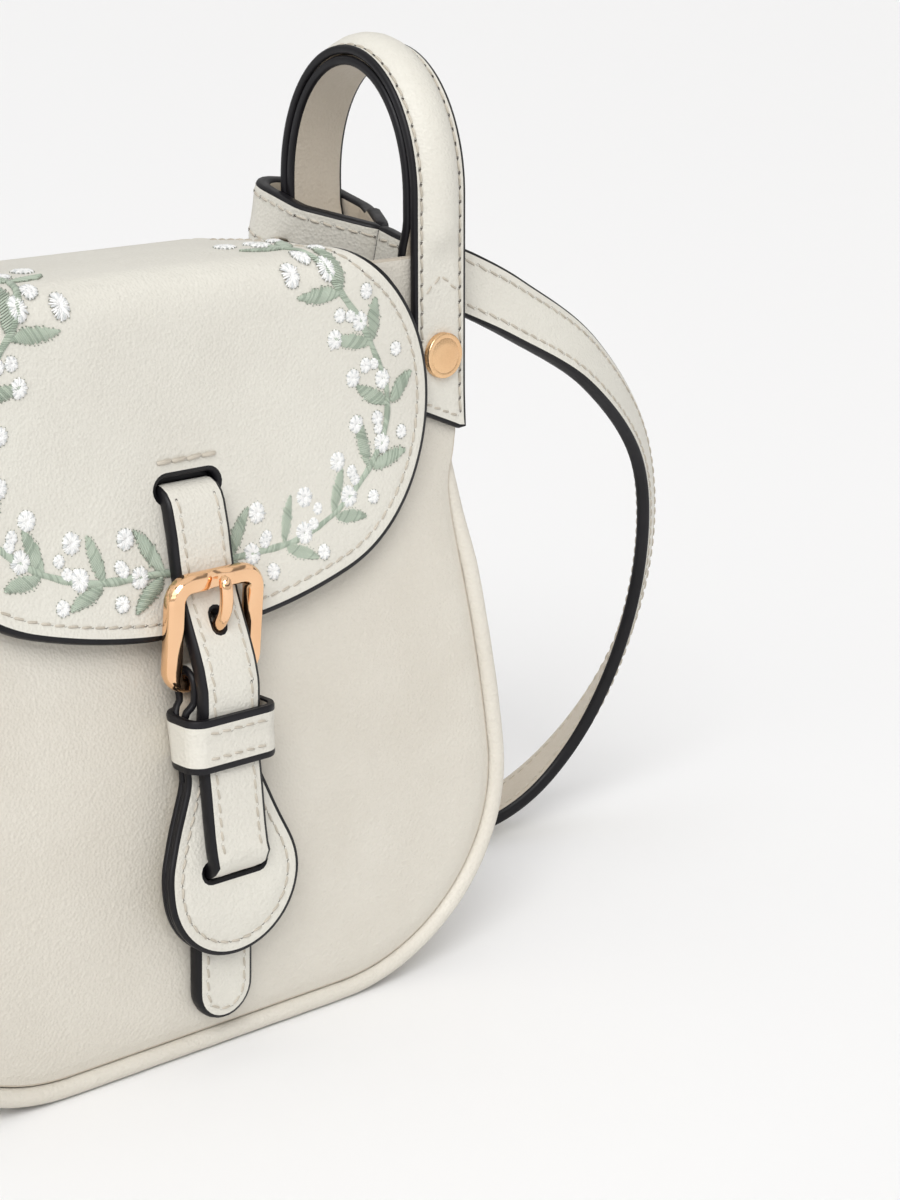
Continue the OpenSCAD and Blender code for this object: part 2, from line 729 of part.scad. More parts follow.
module belt_strap() {
    color(cream) intersection() {
        difference() {
            union() {
                across(belt_w) front_sheet(belt_line, belt_t, belt_low_z, slit_z, belt_step);
                translate([-belt_w / 2, belt_axis_y, slit_z]) rotate([0, 90, 0])
                    cylinder(d = belt_t, h = belt_w);
                across(belt_w)
                    front_sheet([[0, tail_off]], lookup(slot_z, belt_line) + belt_t - tail_off,
                                belt_low_z, belt_low_z + belt_t, belt_step);
                across(belt_w)
                    front_sheet([[0, tail_off]], belt_t, tip_z, belt_low_z + belt_t, belt_step);
            }
            for (z = [pin_slot_z0, pin_slot_z1])
                along_y(pin_slot_d, 0, z, -reach / 2, 0);
            translate([-pin_slot_d / 2, -reach / 2, pin_slot_z0])
                cube([pin_slot_d, reach / 2, pin_slot_z1 - pin_slot_z0]);
        }
        union() {
            along_y(belt_w, 0, tip_z + belt_w / 2, -reach / 2, 0);
            translate([-belt_w / 2, -reach / 2, tip_z + belt_w / 2]) cube([belt_w, reach / 2, reach]);
        }
    }
}

// Tab: two leathers, folded round the hinge bar, with a keyhole outline
tab_r = tab_w / 2;
keeper_slide = 3;
tab_shoulder_z = keeper_z - keeper_slide - 0.6;
fold_w = belt_w;
prong_gap = prong_d + 1;
function tab_tangent_angle() =
    let (d = [neck_w / 2, tab_shoulder_z - tab_bottom_z - tab_r])
    atan2(d[1], d[0]) - acos(tab_r / norm(d));
function tab_outline() =
    let (right = concat(
        arc_points([0, tab_bottom_z + tab_r], tab_r, -90, tab_tangent_angle(), 20),
        [[neck_w / 2, tab_shoulder_z], [neck_w / 2, neck_top_z], [fold_w / 2, neck_top_z],
         [fold_w / 2, bar_z + 10]]))
    concat(right, reversed([for (p = right) [-p[0], p[1]]]));
module tab_cut() {
    difference() {
        polygon(tab_outline());
        translate([0, slot_z]) polygon(round_rect(slot_w, slot_h, slot_h / 2 - 0.1));
        translate([-prong_gap / 2, neck_top_z + 1]) square([prong_gap, 20]);
    }
}
module tab_front() {
    axis_y = -(half_depth(bar_z) + bar_off);
    color(cream) {
        intersection() {
            across(tab_w) front_sheet(tab_front_line, tab_t, tab_bottom_z, bar_z, belt_step);
            through_depth() tab_cut();
        }
        intersection() {
            translate([-fold_w / 2, axis_y, bar_z]) rotate([0, 90, 0]) difference() {
                cylinder(r = fold_r + tab_t, h = fold_w);
                translate([0, 0, -1]) cylinder(r = fold_r, h = fold_w + 2);
            }
            translate([-reach / 2, -reach / 2, bar_z]) cube([reach, reach, 10]);
            through_depth() tab_cut();
        }
    }
}
module tab_back() {
    color(cream) difference() {
        intersection() {
            across(tab_w) front_sheet(tab_back_line, tab_t, tab_bottom_z, bar_z - fit, belt_step);
            through_depth() tab_cut();
        }
        snap_hole();
    }
}

// Keeper: a band round the belt and the tab's neck
keeper_room = keeper_t + soft_gap;
keeper_front = [[0, tab_gap + tab_t + fit + over_tab + belt_t + soft_gap],
                [neck_low_z, tab_gap + tab_t + fit + over_tab + belt_t + soft_gap],
                [fold_z, bar_off + fold_r + over_tab + belt_t + soft_gap]];
module keeper_loop() {
    top_z = keeper_z + keeper_h;
    color(cream) difference() {
        across(keeper_w) polygon(concat(
            front_line([[0, soft_gap]], 0, keeper_z, top_z, belt_step),
            reversed(front_line(keeper_front, keeper_t, keeper_z, top_z, belt_step))));
        across(keeper_w - 2 * keeper_t) polygon(concat(
            front_line([[0, keeper_room]], 0, keeper_z - 1, top_z + 1, belt_step),
            reversed(front_line(keeper_front, 0, keeper_z - 1, top_z + 1, belt_step))));
    }
}

// Buckle: the frame turns on its hinge bar, and so does the prong
axis_y = -(half_depth(bar_z) + bar_off);
top_bar_z = bar_z + bar_pitch * cos(8.8);
top_bar_y = -(half_depth(top_bar_z) + flap_out + soft_gap + belt_t + 2 * soft_gap + bar_t / 2);
frame_tilt = atan2(axis_y - top_bar_y, top_bar_z - bar_z);
frame_top = bar_pitch + bar_w / 2;
module at_hinge_bar() {
    translate([0, axis_y, bar_z]) rotate([frame_tilt, 0, 0]) children();
}
module buckle_frame() {
    frame_h = frame_top + hinge_bar_r;
    frame_mid = (frame_top - hinge_bar_r) / 2;
    window_w = buckle_w - 2 * bar_w;
    window_h = frame_h - bar_w;
    color(rose_gold) at_hinge_bar() {
        rotate([90, 0, 0]) linear_extrude(bar_t, center = true) difference() {
            translate([0, frame_mid]) polygon(round_rect(buckle_w, frame_h, 5));
            translate([0, frame_mid - bar_w / 2 - 1.5])
                polygon(round_rect(window_w, window_h + 3, 2.4));
            translate([-window_w / 2, -reach]) square([window_w, reach]);
        }
        translate([-buckle_w / 2 + bar_w / 2, 0, 0]) rotate([0, 90, 0])
            cylinder(r = hinge_bar_r, h = buckle_w - bar_w);
    }
}
prong_eye_w = prong_d;
module buckle_prong() {
    eye_r = hinge_bar_r + running;
    rest = bar_t / 2 + 2 * soft_gap + prong_d / 2;
    from = [0, -1.2, eye_r + 0.5];
    to = [0, -rest, frame_top - 0.6];
    run = to - from;
    color(rose_gold) at_hinge_bar() difference() {
        union() {
            translate([-prong_eye_w / 2, 0, 0]) rotate([0, 90, 0])
                cylinder(r = eye_r + 1.1, h = prong_eye_w);
            translate(from) rotate([atan2(-run[1], run[2]), 0, 0])
                cylinder(d = prong_d, h = norm(run));
            translate(to) sphere(d = prong_d);
        }
        translate([-prong_eye_w, 0, 0]) rotate([0, 90, 0])
            cylinder(r = eye_r, h = 2 * prong_eye_w);
    }
}

// Shoulder strap: a ribbon from one strap end to the other, lying behind the bag.
// Each row holds a point of the right half and the direction of the ribbon's width.
strap_gap = 0.4;
strap_start_x = strap_x0 + strap_gap;
strap_lie_z = strap_t / 2;
strap_rows = [
    [[strap_start_x, strap_y, strap_z], [0, 0, 1]],
    [[strap_start_x + 4, strap_y - 0.5, strap_z - 2.2], [0.05, 0.05, 1]],
    [[92, -15, 133], [0.25, 0.22, 0.9]],
    [[115, -14, 119], [0.5, 0.45, 0.65]],
    [[137, -8, 97], [0.7, 0.6, 0.3]],
    [[148, 0, 70], [0.79, 0.61, 0.05]],
    [[149, 9, 42], [0.76, 0.65, 0]],
    [[139, 17, 19], [0.55, 0.83, 0]],
    [[121, 23, strap_lie_z + 4], [0.3, 0.95, 0]],
    [[97, 31, strap_lie_z + 0.4], [0.26, 0.96, 0]],
    [[66, 39, strap_lie_z], [0.15, 0.98, 0]],
    [[32, 43, strap_lie_z], [0.05, 1, 0]],
    [[0, 44, strap_lie_z], [0, 1, 0]]
];
strap_splits = 4;
function spline(a, b, c, d, t) =
    0.5 * (2 * b + (c - a) * t + (2 * a - 5 * b + 4 * c - d) * t * t
           + (3 * b - a - 3 * c + d) * t * t * t);
strap_last = len(strap_rows) - 1;
// A row past either end of the list, for the spline; past the last it is the mirror image
function strap_row(i) =
    i < 0 ? [strap_rows[0][0] - [5, 0, 0], strap_rows[0][1]]
    : i > strap_last ? let (m = strap_rows[2 * strap_last - i])
        [[-m[0][0], m[0][1], m[0][2]], [-m[1][0], m[1][1], m[1][2]]]
    : strap_rows[i];
function strap_half(k) = concat(
    [for (i = [0 : strap_last - 1]) for (s = [0 : strap_splits - 1])
        spline(strap_row(i - 1)[k], strap_row(i)[k], strap_row(i + 1)[k], strap_row(i + 2)[k],
               s / strap_splits)],
    [strap_rows[strap_last][k]]);
function strap_whole(k) = let (half = strap_half(k)) concat(
    half, [for (i = [len(half) - 2 : -1 : 0]) [-half[i][0], half[i][1], half[i][2]]]);
// Layer of the ribbon between two distances along its normal
function ribbon_points(path, widths, t0, t1) = [
    for (i = [0 : len(path) - 1])
        let (t = i == 0 ? [1, 0, 0] : i == len(path) - 1 ? [-1, 0, 0] : path_tangent(path, i),
             side = i == 0 || i == len(path) - 1 ? [0, 0, 1] : unit(widths[i] - (widths[i] * t) * t),
             n = i == len(path) - 1 ? cross([0, 0, 1], [-1, 0, 0]) : cross(side, t))
        each [path[i] - side * strap_w / 2 + n * t0, path[i] + side * strap_w / 2 + n * t0,
              path[i] + side * strap_w / 2 + n * t1, path[i] - side * strap_w / 2 + n * t1]
];
module ribbon(t0, t1) {
    path = strap_whole(0);
    polyhedron(ribbon_points(path, strap_whole(1), t0, t1), skin_faces(len(path), 4, 2));
}
module strap_face() { color(cream) ribbon(-strap_t / 2, -fit / 2); }
module strap_backing() { color(cream_dark) ribbon(fit / 2, strap_t / 2); }

front_panel();
back_panel();
gusset();
front_piping();
back_piping();
front_stiffener();
back_stiffener();
lining();
base_board();
slip_pocket();
snap_socket();
flap_back_strip();
right_handle_outer();
right_handle_core();
right_handle_inner();
left_handle_outer();
left_handle_core();
left_handle_inner();
handle_rivets();
rivet_caps();
right_strap_end();
left_strap_end();
flap_outer();
flap_lining();
belt_root();
belt_strap();
tab_front();
tab_back();
snap_stud();
buckle_frame();
buckle_prong();
keeper_loop();
strap_face();
strap_backing();
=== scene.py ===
"""Small belted shoulder bag: the looks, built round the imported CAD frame.

Lengths in this file are millimetres; Mesh.make() turns them into metres. X runs across
the bag, -Y is the front and +Z is up, as in part.scad.
"""
import math

import bpy
import numpy as np
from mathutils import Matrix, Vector
from mathutils.geometry import delaunay_2d_cdt

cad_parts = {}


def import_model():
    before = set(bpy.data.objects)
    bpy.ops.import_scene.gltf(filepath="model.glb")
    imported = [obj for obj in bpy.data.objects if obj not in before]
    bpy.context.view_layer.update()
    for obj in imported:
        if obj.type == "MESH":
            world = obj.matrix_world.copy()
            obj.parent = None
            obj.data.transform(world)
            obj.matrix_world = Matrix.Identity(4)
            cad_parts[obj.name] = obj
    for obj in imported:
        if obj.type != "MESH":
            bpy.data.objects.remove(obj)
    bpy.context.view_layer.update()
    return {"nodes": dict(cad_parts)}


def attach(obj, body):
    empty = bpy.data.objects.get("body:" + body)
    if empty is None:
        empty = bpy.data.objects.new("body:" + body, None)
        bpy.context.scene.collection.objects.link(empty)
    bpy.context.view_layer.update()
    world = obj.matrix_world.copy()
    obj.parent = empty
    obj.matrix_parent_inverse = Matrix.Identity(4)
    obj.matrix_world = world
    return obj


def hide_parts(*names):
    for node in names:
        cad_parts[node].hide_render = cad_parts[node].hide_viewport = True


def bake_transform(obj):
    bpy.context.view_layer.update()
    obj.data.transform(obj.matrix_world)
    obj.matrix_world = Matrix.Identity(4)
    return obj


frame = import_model()

MM = 0.001
TINY = 1e-9
rng = np.random.default_rng(7)

# ---------------------------------------------------------------- sizes of part.scad
BODY_W, BODY_H, MOUTH_W = 153.0, 147.5, 139.0
BODY_D, MOUTH_D = 60.4, 38.4
CORNER_R, FULL_Z, TURN_Z, STRAIGHT_Z = 43.5, 30.0, 88.0, 122.0
GUSSET_H, PIPE_R, PIPE_TOP = 127.0, 1.9, 118.0
LEAN = (BODY_D - MOUTH_D) / (STRAIGHT_Z - FULL_Z)
CORNER_X = BODY_W / 2 - CORNER_R
HANDLE_X, HANDLE_W, ARCH_Z, RIVET_Z = 66.2, 12.8, 166.4, 127.5
FLAP_BOTTOM, FLAP_SIDE_R, FLAP_SIDE_Z, FLAP_SIDE_X = 84.5, 33.0, 121.5, 26.4
FLAP_TOP_X = 37.4
SLIT_Z, SNAP_Z = 110.5, 50.5
BAR_Z, BAR_OFF, BAR_PITCH = 76.0, 4.8, 19.7
STRAP_Z, STRAP_TILT = 142.5, 14.0


def half_depth(z):
    """Half the depth of the body at a height."""
    z = np.asarray(z, float)
    low = BODY_D / 2 - LEAN * (z - FULL_Z) ** 2 / (2 * (TURN_Z - FULL_Z))
    high = MOUTH_D / 2 + LEAN * (STRAIGHT_Z - z) ** 2 / (2 * (STRAIGHT_Z - TURN_Z))
    return np.where(z <= TURN_Z, low, np.where(z < STRAIGHT_Z, high, MOUTH_D / 2))


def front_y(z, off=0.0):
    """Y of a point that stands off the body's front."""
    return -(float(half_depth(z)) + off)


def tangent(dx, dy, r):
    """Angle on a circle where a line that ends at (dx, dy) touches it."""
    return math.degrees(math.atan2(dy, dx) - math.acos(r / math.hypot(dx, dy)))


def side_angle(depth):
    """Where the body's round corner, at an inset, meets its straight side."""
    return tangent(MOUTH_W / 2 - depth - CORNER_X, BODY_H - CORNER_R, CORNER_R - depth)


def side_x(z, depth):
    """X of the body's straight side, at an inset."""
    r, a = CORNER_R - depth, math.radians(side_angle(depth))
    fx, fz = CORNER_X + r * math.cos(a), CORNER_R + r * math.sin(a)
    return fx + (MOUTH_W / 2 - depth - fx) * (z - fz) / (BODY_H - fz)


def arc(cx, cz, r, a0, a1, n):
    return [(cx + r * math.cos(t), cz + r * math.sin(t))
            for t in np.radians(np.linspace(a0, a1, n + 1))]


def corner(depth, n):
    """The body's lower right corner, at an inset."""
    return arc(CORNER_X, CORNER_R, CORNER_R - depth, -90, side_angle(depth), n)


def mirrored(right):
    return right + [(-x, z) for x, z in reversed(right)]


def rect(w0, w1, s0, s1, r=0.6, low_r=None, n=4):
    """A rectangle loop with round corners."""
    q = r if low_r is None else low_r
    return (arc(w1 - r, s1 - r, r, 0, 90, n) + arc(w0 + r, s1 - r, r, 90, 180, n)
            + arc(w0 + q, s0 + q, q, 180, 270, n) + arc(w1 - q, s0 + q, q, 270, 360, n))


def slot_loop(x, s, r):
    """A slot with round ends, centred on (0, s)."""
    return arc(x, s, r, -90, 90, 8) + arc(-x, s, r, 90, 270, 8)


def smooth(t):
    t = np.clip(t, 0, 1)
    return t * t * (3 - 2 * t)


def soften(z, line, table, blur, n=9):
    """A table read with its corners rounded."""
    return np.mean([np.interp(z + k, line, table) for k in np.linspace(-blur, blur, n)], 0)


def unit(v):
    return v / np.maximum(np.linalg.norm(v, axis=-1, keepdims=True), TINY)


def lengths(points):
    """The length run along a line, at each of its points."""
    return np.concatenate([[0], np.cumsum(np.linalg.norm(np.diff(points, axis=0), axis=1))])


def read(table, s, t):
    """Rows of a table that are known at s, read at t."""
    return np.stack([np.interp(t, s, table[:, k]) for k in range(table.shape[1])], -1)


def circle(n):
    return np.linspace(0, 2 * math.pi, n, endpoint=False)


# ---------------------------------------------------------------- materials
def srgb(r, g, b):
    def lin(c):
        c /= 255
        return c / 12.92 if c <= 0.04045 else ((c + 0.055) / 1.055) ** 2.4

    return (lin(r), lin(g), lin(b), 1)


class Nodes:
    """A short way to build a node tree."""

    def __init__(self, name):
        self.mat = bpy.data.materials.new(name)
        self.mat.use_nodes = True
        self.tree = self.mat.node_tree
        self.bsdf = self.tree.nodes["Principled BSDF"]
        self.coord = self.add("ShaderNodeTexCoord").outputs["Object"]

    def add(self, kind, **sets):
        n = self.tree.nodes.new(kind)
        for k, v in sets.items():
            if k.startswith("in_"):
                k = k[3:]
                n.inputs[int(k) if k.isdigit() else k.replace("_", " ")].default_value = v
            else:
                setattr(n, k, v)
        return n

    def link(self, a, b):
        self.tree.links.new(a, b)

    def noise(self, scale, detail=3.0, rough=0.55):
        n = self.add("ShaderNodeTexNoise", in_Scale=scale, in_Detail=detail, in_Roughness=rough)
        self.link(self.coord, n.inputs["Vector"])
        return n.outputs["Fac"]

    def cells(self, scale):
        n = self.add("ShaderNodeTexVoronoi", in_Scale=scale)
        self.link(self.coord, n.inputs["Vector"])
        return n.outputs["Distance"]

    def span(self, value, a=0.3, b=0.7, to_a=0.0, to_b=1.0):
        n = self.add("ShaderNodeMapRange", in_From_Min=a, in_From_Max=b, in_To_Min=to_a,
                     in_To_Max=to_b)
        self.link(value, n.inputs["Value"])
        return n.outputs["Result"]

    def mix(self, fac, a, b, how="MIX"):
        n = self.add("ShaderNodeMix", data_type="RGBA", blend_type=how)
        for k, v in ((0, fac), (6, a), (7, b)):
            if hasattr(v, "is_linked"):
                self.link(v, n.inputs[k])
            else:
                n.inputs[k].default_value = v
        return n.outputs[2]

    def finish(self, color, rough, bumps, **values):
        """bumps are layers of (height, strength, distance in metres)."""
        self.link(color, self.bsdf.inputs["Base Color"])
        self.link(rough, self.bsdf.inputs["Roughness"])
        last = None
        for height, strength, distance in bumps:
            n = self.add("ShaderNodeBump", in_Strength=strength, in_Distance=distance)
            self.link(height, n.inputs["Height"])
            if last is not None:
                self.link(last, n.inputs["Normal"])
            last = n.outputs["Normal"]
        self.link(last, self.bsdf.inputs["Normal"])
        return self.set(**values)

    def set(self, **values):
        for k, v in values.items():
            self.bsdf.inputs[k.replace("_", " ")].default_value = v
        return self.mat


def leather(name, light, dark, grain=1.0):
    m = Nodes(name)
    big, fine, pebble = m.noise(22, 4, 0.6), m.noise(900, 2), m.cells(1500)
    tone = m.mix(m.span(big, 0.35, 0.68), dark, light)
    shade = tuple(c * 0.965 for c in light[:3]) + (1,)
    spot = m.mix(m.span(pebble, 0.15, 0.62), shade, light)
    return m.finish(m.mix(0.35, tone, spot, "MULTIPLY"), m.span(fine, to_a=0.42, to_b=0.56),
                    ((big, 0.25, 0.0009), (pebble, 0.5 * grain, 0.00022),
                     (fine, 0.3 * grain, 0.00014)),
                    Specular_IOR_Level=0.42, Coat_Weight=0.05, Coat_Roughness=0.35)


def woven(name, a, b):
    """Plain lining cloth: two crossed sets of fine threads."""
    m = Nodes(name)
    both = m.add("ShaderNodeMath", operation="ADD")
    for k, way in enumerate(((9000, 0, 0), (0, 0, 9000))):
        scaled = m.add("ShaderNodeVectorMath", operation="DOT_PRODUCT", in_1=way)
        sine = m.add("ShaderNodeMath", operation="SINE")
        m.link(m.coord, scaled.inputs[0])
        m.link(scaled.outputs["Value"], sine.inputs[0])
        m.link(sine.outputs[0], both.inputs[k])
    slow = m.noise(70, 3)
    return m.finish(m.mix(m.span(slow), a, b), m.span(slow, to_a=0.78, to_b=0.9),
                    ((both.outputs[0], 0.25, 0.00006), (slow, 0.2, 0.0008)),
                    Sheen_Weight=0.2, Sheen_Roughness=0.5)


SLOW, FINE = 0, 1


def surface(name, a, b, slow, fine, rough, bumps, **values):
    """Two colours mixed by a slow noise, and the roughness by a fine one. The noises are
    (scale, detail), and bumps are (which noise, strength, distance)."""
    m = Nodes(name)
    maps = (m.noise(*slow), m.noise(*fine))
    return m.finish(m.mix(m.span(maps[SLOW]), a, b),
                    m.span(maps[FINE], to_a=rough[0], to_b=rough[1]),
                    [(maps[k], strength, distance) for k, strength, distance in bumps], **values)


def metal(name, dark, base, rough):
    return surface(name, dark, base, (90, 3), (7000, 2), (rough * 0.88, rough * 1.15),
                   ((FINE, 0.02, 0.00001), (SLOW, 0.06, 0.0002)), Metallic=1.0)


def thread(name, a, b, scale=3000.0):
    return surface(name, a, b, (240, 2), (scale, 2), (0.42, 0.62), ((FINE, 0.5, 0.00006),),
                   Sheen_Weight=0.25, Sheen_Roughness=0.4)


def plain(name, a, b, rough, scale):
    return surface(name, a, b, (40, 3), (scale, 2), (rough - 0.06, rough + 0.06),
                   ((FINE, 0.4, 0.0001),))


CREAM = leather("leather_cream", srgb(229, 227, 219), srgb(221, 218, 210))
CREAM_BODY = leather("leather_body", srgb(225, 221, 212), srgb(217, 212, 202))
CREAM_INNER = leather("leather_inner", srgb(214, 206, 193), srgb(203, 194, 180), 0.7)
BLACK = surface("edge_paint_black", srgb(14, 13, 16), srgb(24, 23, 27), (60, 2), (320, 3),
                (0.34, 0.5), ((FINE, 0.3, 0.00012), (SLOW, 0.2, 0.0003)),
                Specular_IOR_Level=0.28)
GOLD = metal("rose_gold", srgb(244, 196, 152), srgb(252, 208, 166), 0.1)
GOLD_SATIN = metal("rose_gold_satin", srgb(236, 192, 146), srgb(247, 208, 162), 0.26)
THREAD = thread("thread_cream", srgb(198, 190, 176), srgb(180, 172, 158), 2400.0)
# Dark discs at the stitches' ends: painted shade in the needle holes
HOLE_SHADE = plain("needle_hole_shade", srgb(92, 85, 78), srgb(74, 68, 62), 0.8, 900)
SAGE = thread("thread_sage", srgb(184, 195, 179), srgb(170, 182, 166))
SAGE_DEEP = thread("thread_sage_deep", srgb(160, 172, 156), srgb(148, 161, 145))
# Darker thread colour for the marks at thread ends: painted shade where the threads go into the
# leather
SHADE_DOTS = thread("thread_end_shade", srgb(142, 148, 134), srgb(126, 132, 118))
WHITE = thread("thread_white", srgb(243, 243, 241), srgb(232, 232, 231))
# A grey copy of the white thread: painted shade on every fourth petal thread
WHITE_SHADE = thread("thread_white_shade", srgb(214, 216, 216), srgb(200, 203, 203))
LINING = woven("lining_cloth", srgb(178, 166, 148), srgb(164, 151, 133))
BOARD = plain("fibre_board", srgb(150, 132, 110), srgb(138, 120, 98), 0.85, 500)
# A cut leather: its face, its painted edge and its back
CUT = [CREAM, BLACK, CREAM_INNER]


# ---------------------------------------------------------------- meshes
def flipped(faces):
    return [f[::-1] for f in faces]


def block(rows, columns, at=0):
    """Vertex numbers of a grid."""
    return np.arange(rows * columns).reshape(rows, columns) + at


def bands(rows, closed=True):
    """Quads between each row of vertex numbers and the next."""
    rows = np.asarray(rows).tolist()
    count = len(rows[0])
    return [(a[i], a[(i + 1) % count], b[(i + 1) % count], b[i])
            for a, b in zip(rows, rows[1:]) for i in range(count if closed else count - 1)]


class Mesh:
    """Verts, faces and material numbers gathered from several parts."""

    def __init__(self):
        self.v, self.f, self.m = [], [], []

    def add(self, verts, faces, mat=0, at=None):
        """Face numbers count from at, or else from the first of these verts."""
        at = len(self.v) if at is None else at
        self.v.extend(verts)
        self.f.extend(tuple(i + at for i in f) for f in faces)
        self.m.extend(mat if hasattr(mat, "__len__") else [mat] * len(faces))

    def behind(self):
        """Moves it from the bag's front to its back."""
        self.v = [(x, -y, z) for x, y, z in self.v]
        self.f = flipped(self.f)
        return self

    def make(self, name, mats, body="bag", slot="leather", replaces=(), sharp=None):
        """A smooth mesh object in metres, riding on a body."""
        me = bpy.data.meshes.new(name)
        me.from_pydata([tuple(float(c) * MM for c in v) for v in self.v], [], self.f)
        for m in mats:
            me.materials.append(m)
        me.polygons.foreach_set("material_index", np.asarray(self.m, np.int32))
        me.validate()
        me.polygons.foreach_set("use_smooth", np.ones(len(me.polygons), bool))
        if sharp is not None:
            me.set_sharp_from_angle(angle=math.radians(sharp))
        me.update()
        ob = bpy.data.objects.new(name, me)
        bpy.context.scene.collection.objects.link(ob)
        if body:
            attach(ob, body)
        if replaces:
            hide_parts(*replaces)
        return ob


class Rail:
    """A path with a sideways and an outward direction, read by arc length."""

    def __init__(self, points, sides, normals):
        self.p, self.side, self.n = (np.asarray(a, float) for a in (points, sides, normals))
        self.s = lengths(self.p)
        self.length = self.s[-1]
        # Faces laid on a mirrored rail are turned
        self.mirrored = np.sum(np.cross(self.side, np.gradient(self.p, axis=0)) * self.n) < 0

    def at(self, x, s, d):
        """Points x to the side, s along and d outward."""
        x, s, d = (np.asarray(a, float) for a in np.broadcast_arrays(x, s, d))
        return (read(self.p, self.s, s) + read(self.side, self.s, s) * x[..., None]
                + unit(read(self.n, self.s, s)) * d[..., None])

    def out(self, p, d):
        """Outward directions at points (x, s) of the surface at d."""
        return self.at(*p.T, d + 1) - self.at(*p.T, d)


def profile_rail(yz, sign=1):
    """A rail in the Y-Z plane, sideways along X; sign 1 has its outside on the left."""
    yz = np.asarray(yz, float)
    t = unit(np.gradient(yz, axis=0))
    zero = np.zeros(len(yz))
    return Rail(np.stack([zero, yz[:, 0], yz[:, 1]], 1), np.tile([1.0, 0, 0], (len(yz), 1)),
                np.stack([zero, -t[:, 1] * sign, t[:, 0] * sign], 1))


def rounded_path(points, r, step):
    """A polyline in a plane with its corners rounded."""
    pts = [np.asarray(p, float) for p in points]
    out = [pts[0]]
    for a, b, c in zip(pts, pts[1:], pts[2:]):
        u, w = unit(a - b), unit(c - b)
        half = math.acos(np.clip(u @ w, -1, 1)) / 2
        cut = min(r / math.tan(half), *(np.linalg.norm(e - b) * 0.49 for e in (a, c)))
        for t in np.linspace(0, 1, 9):
            out.append((1 - t) ** 2 * (b + u * cut) + 2 * t * (1 - t) * b
                       + t * t * (b + w * cut))
    out = np.array(out + [pts[-1]])
    s = lengths(out)
    keep = np.concatenate([[True], np.diff(s) > 1e-6])
    return read(out[keep], s[keep], np.linspace(0, s[-1], max(2, int(s[-1] / step)) + 1))


def resample(loop, step):
    loop = np.asarray(loop, float)
    closed = np.vstack([loop, loop[:1]])
    s = lengths(closed)
    n = max(8, int(round(s[-1] / step)))
    return read(closed, s, np.linspace(0, s[-1], n, endpoint=False))


def turns_left(loop):
    x, y = loop.T
    return np.sum(x * np.roll(y, -1) - np.roll(x, -1) * y) > 0


def loop_normals(loop):
    """Inward normals of a closed loop, whichever way it runs."""
    t = unit(np.roll(loop, -1, 0) - np.roll(loop, 1, 0))
    n = np.stack([-t[:, 1], t[:, 0]], 1)
    return n if turns_left(loop) else -n


def inset(loop, d):
    return loop + loop_normals(loop) * d


def opened(row):
    """A cut loop's points, starting behind its widest gap."""
    gaps = np.linalg.norm(np.diff(np.vstack([row, row[:1]]), axis=0), axis=1)
    return np.roll(row, -(int(np.argmax(gaps)) + 1), axis=0)


def inside(points, loop):
    """Even-odd test of many points against a loop."""
    x, y = points[:, 0][:, None], points[:, 1][:, None]
    x0, y0 = loop[:, 0], loop[:, 1]
    x1, y1 = np.roll(x0, -1), np.roll(y0, -1)
    hit = (y0 > y) != (y1 > y)
    with np.errstate(divide="ignore", invalid="ignore"):
        cross = (x1 - x0) * (y - y0) / (y1 - y0) + x0
    return (np.sum(hit & (x < cross), 1) % 2) == 1


def distance(points, loop):
    """Distance of many points from a loop's line."""
    best = np.full(len(points), 1e9)
    for a, b in zip(loop, np.roll(loop, -1, 0)):
        ab = b - a
        t = np.clip(((points - a) @ ab) / max(ab @ ab, 1e-12), 0, 1)
        best = np.minimum(best, np.linalg.norm(points - (a + t[:, None] * ab), axis=1))
    return best


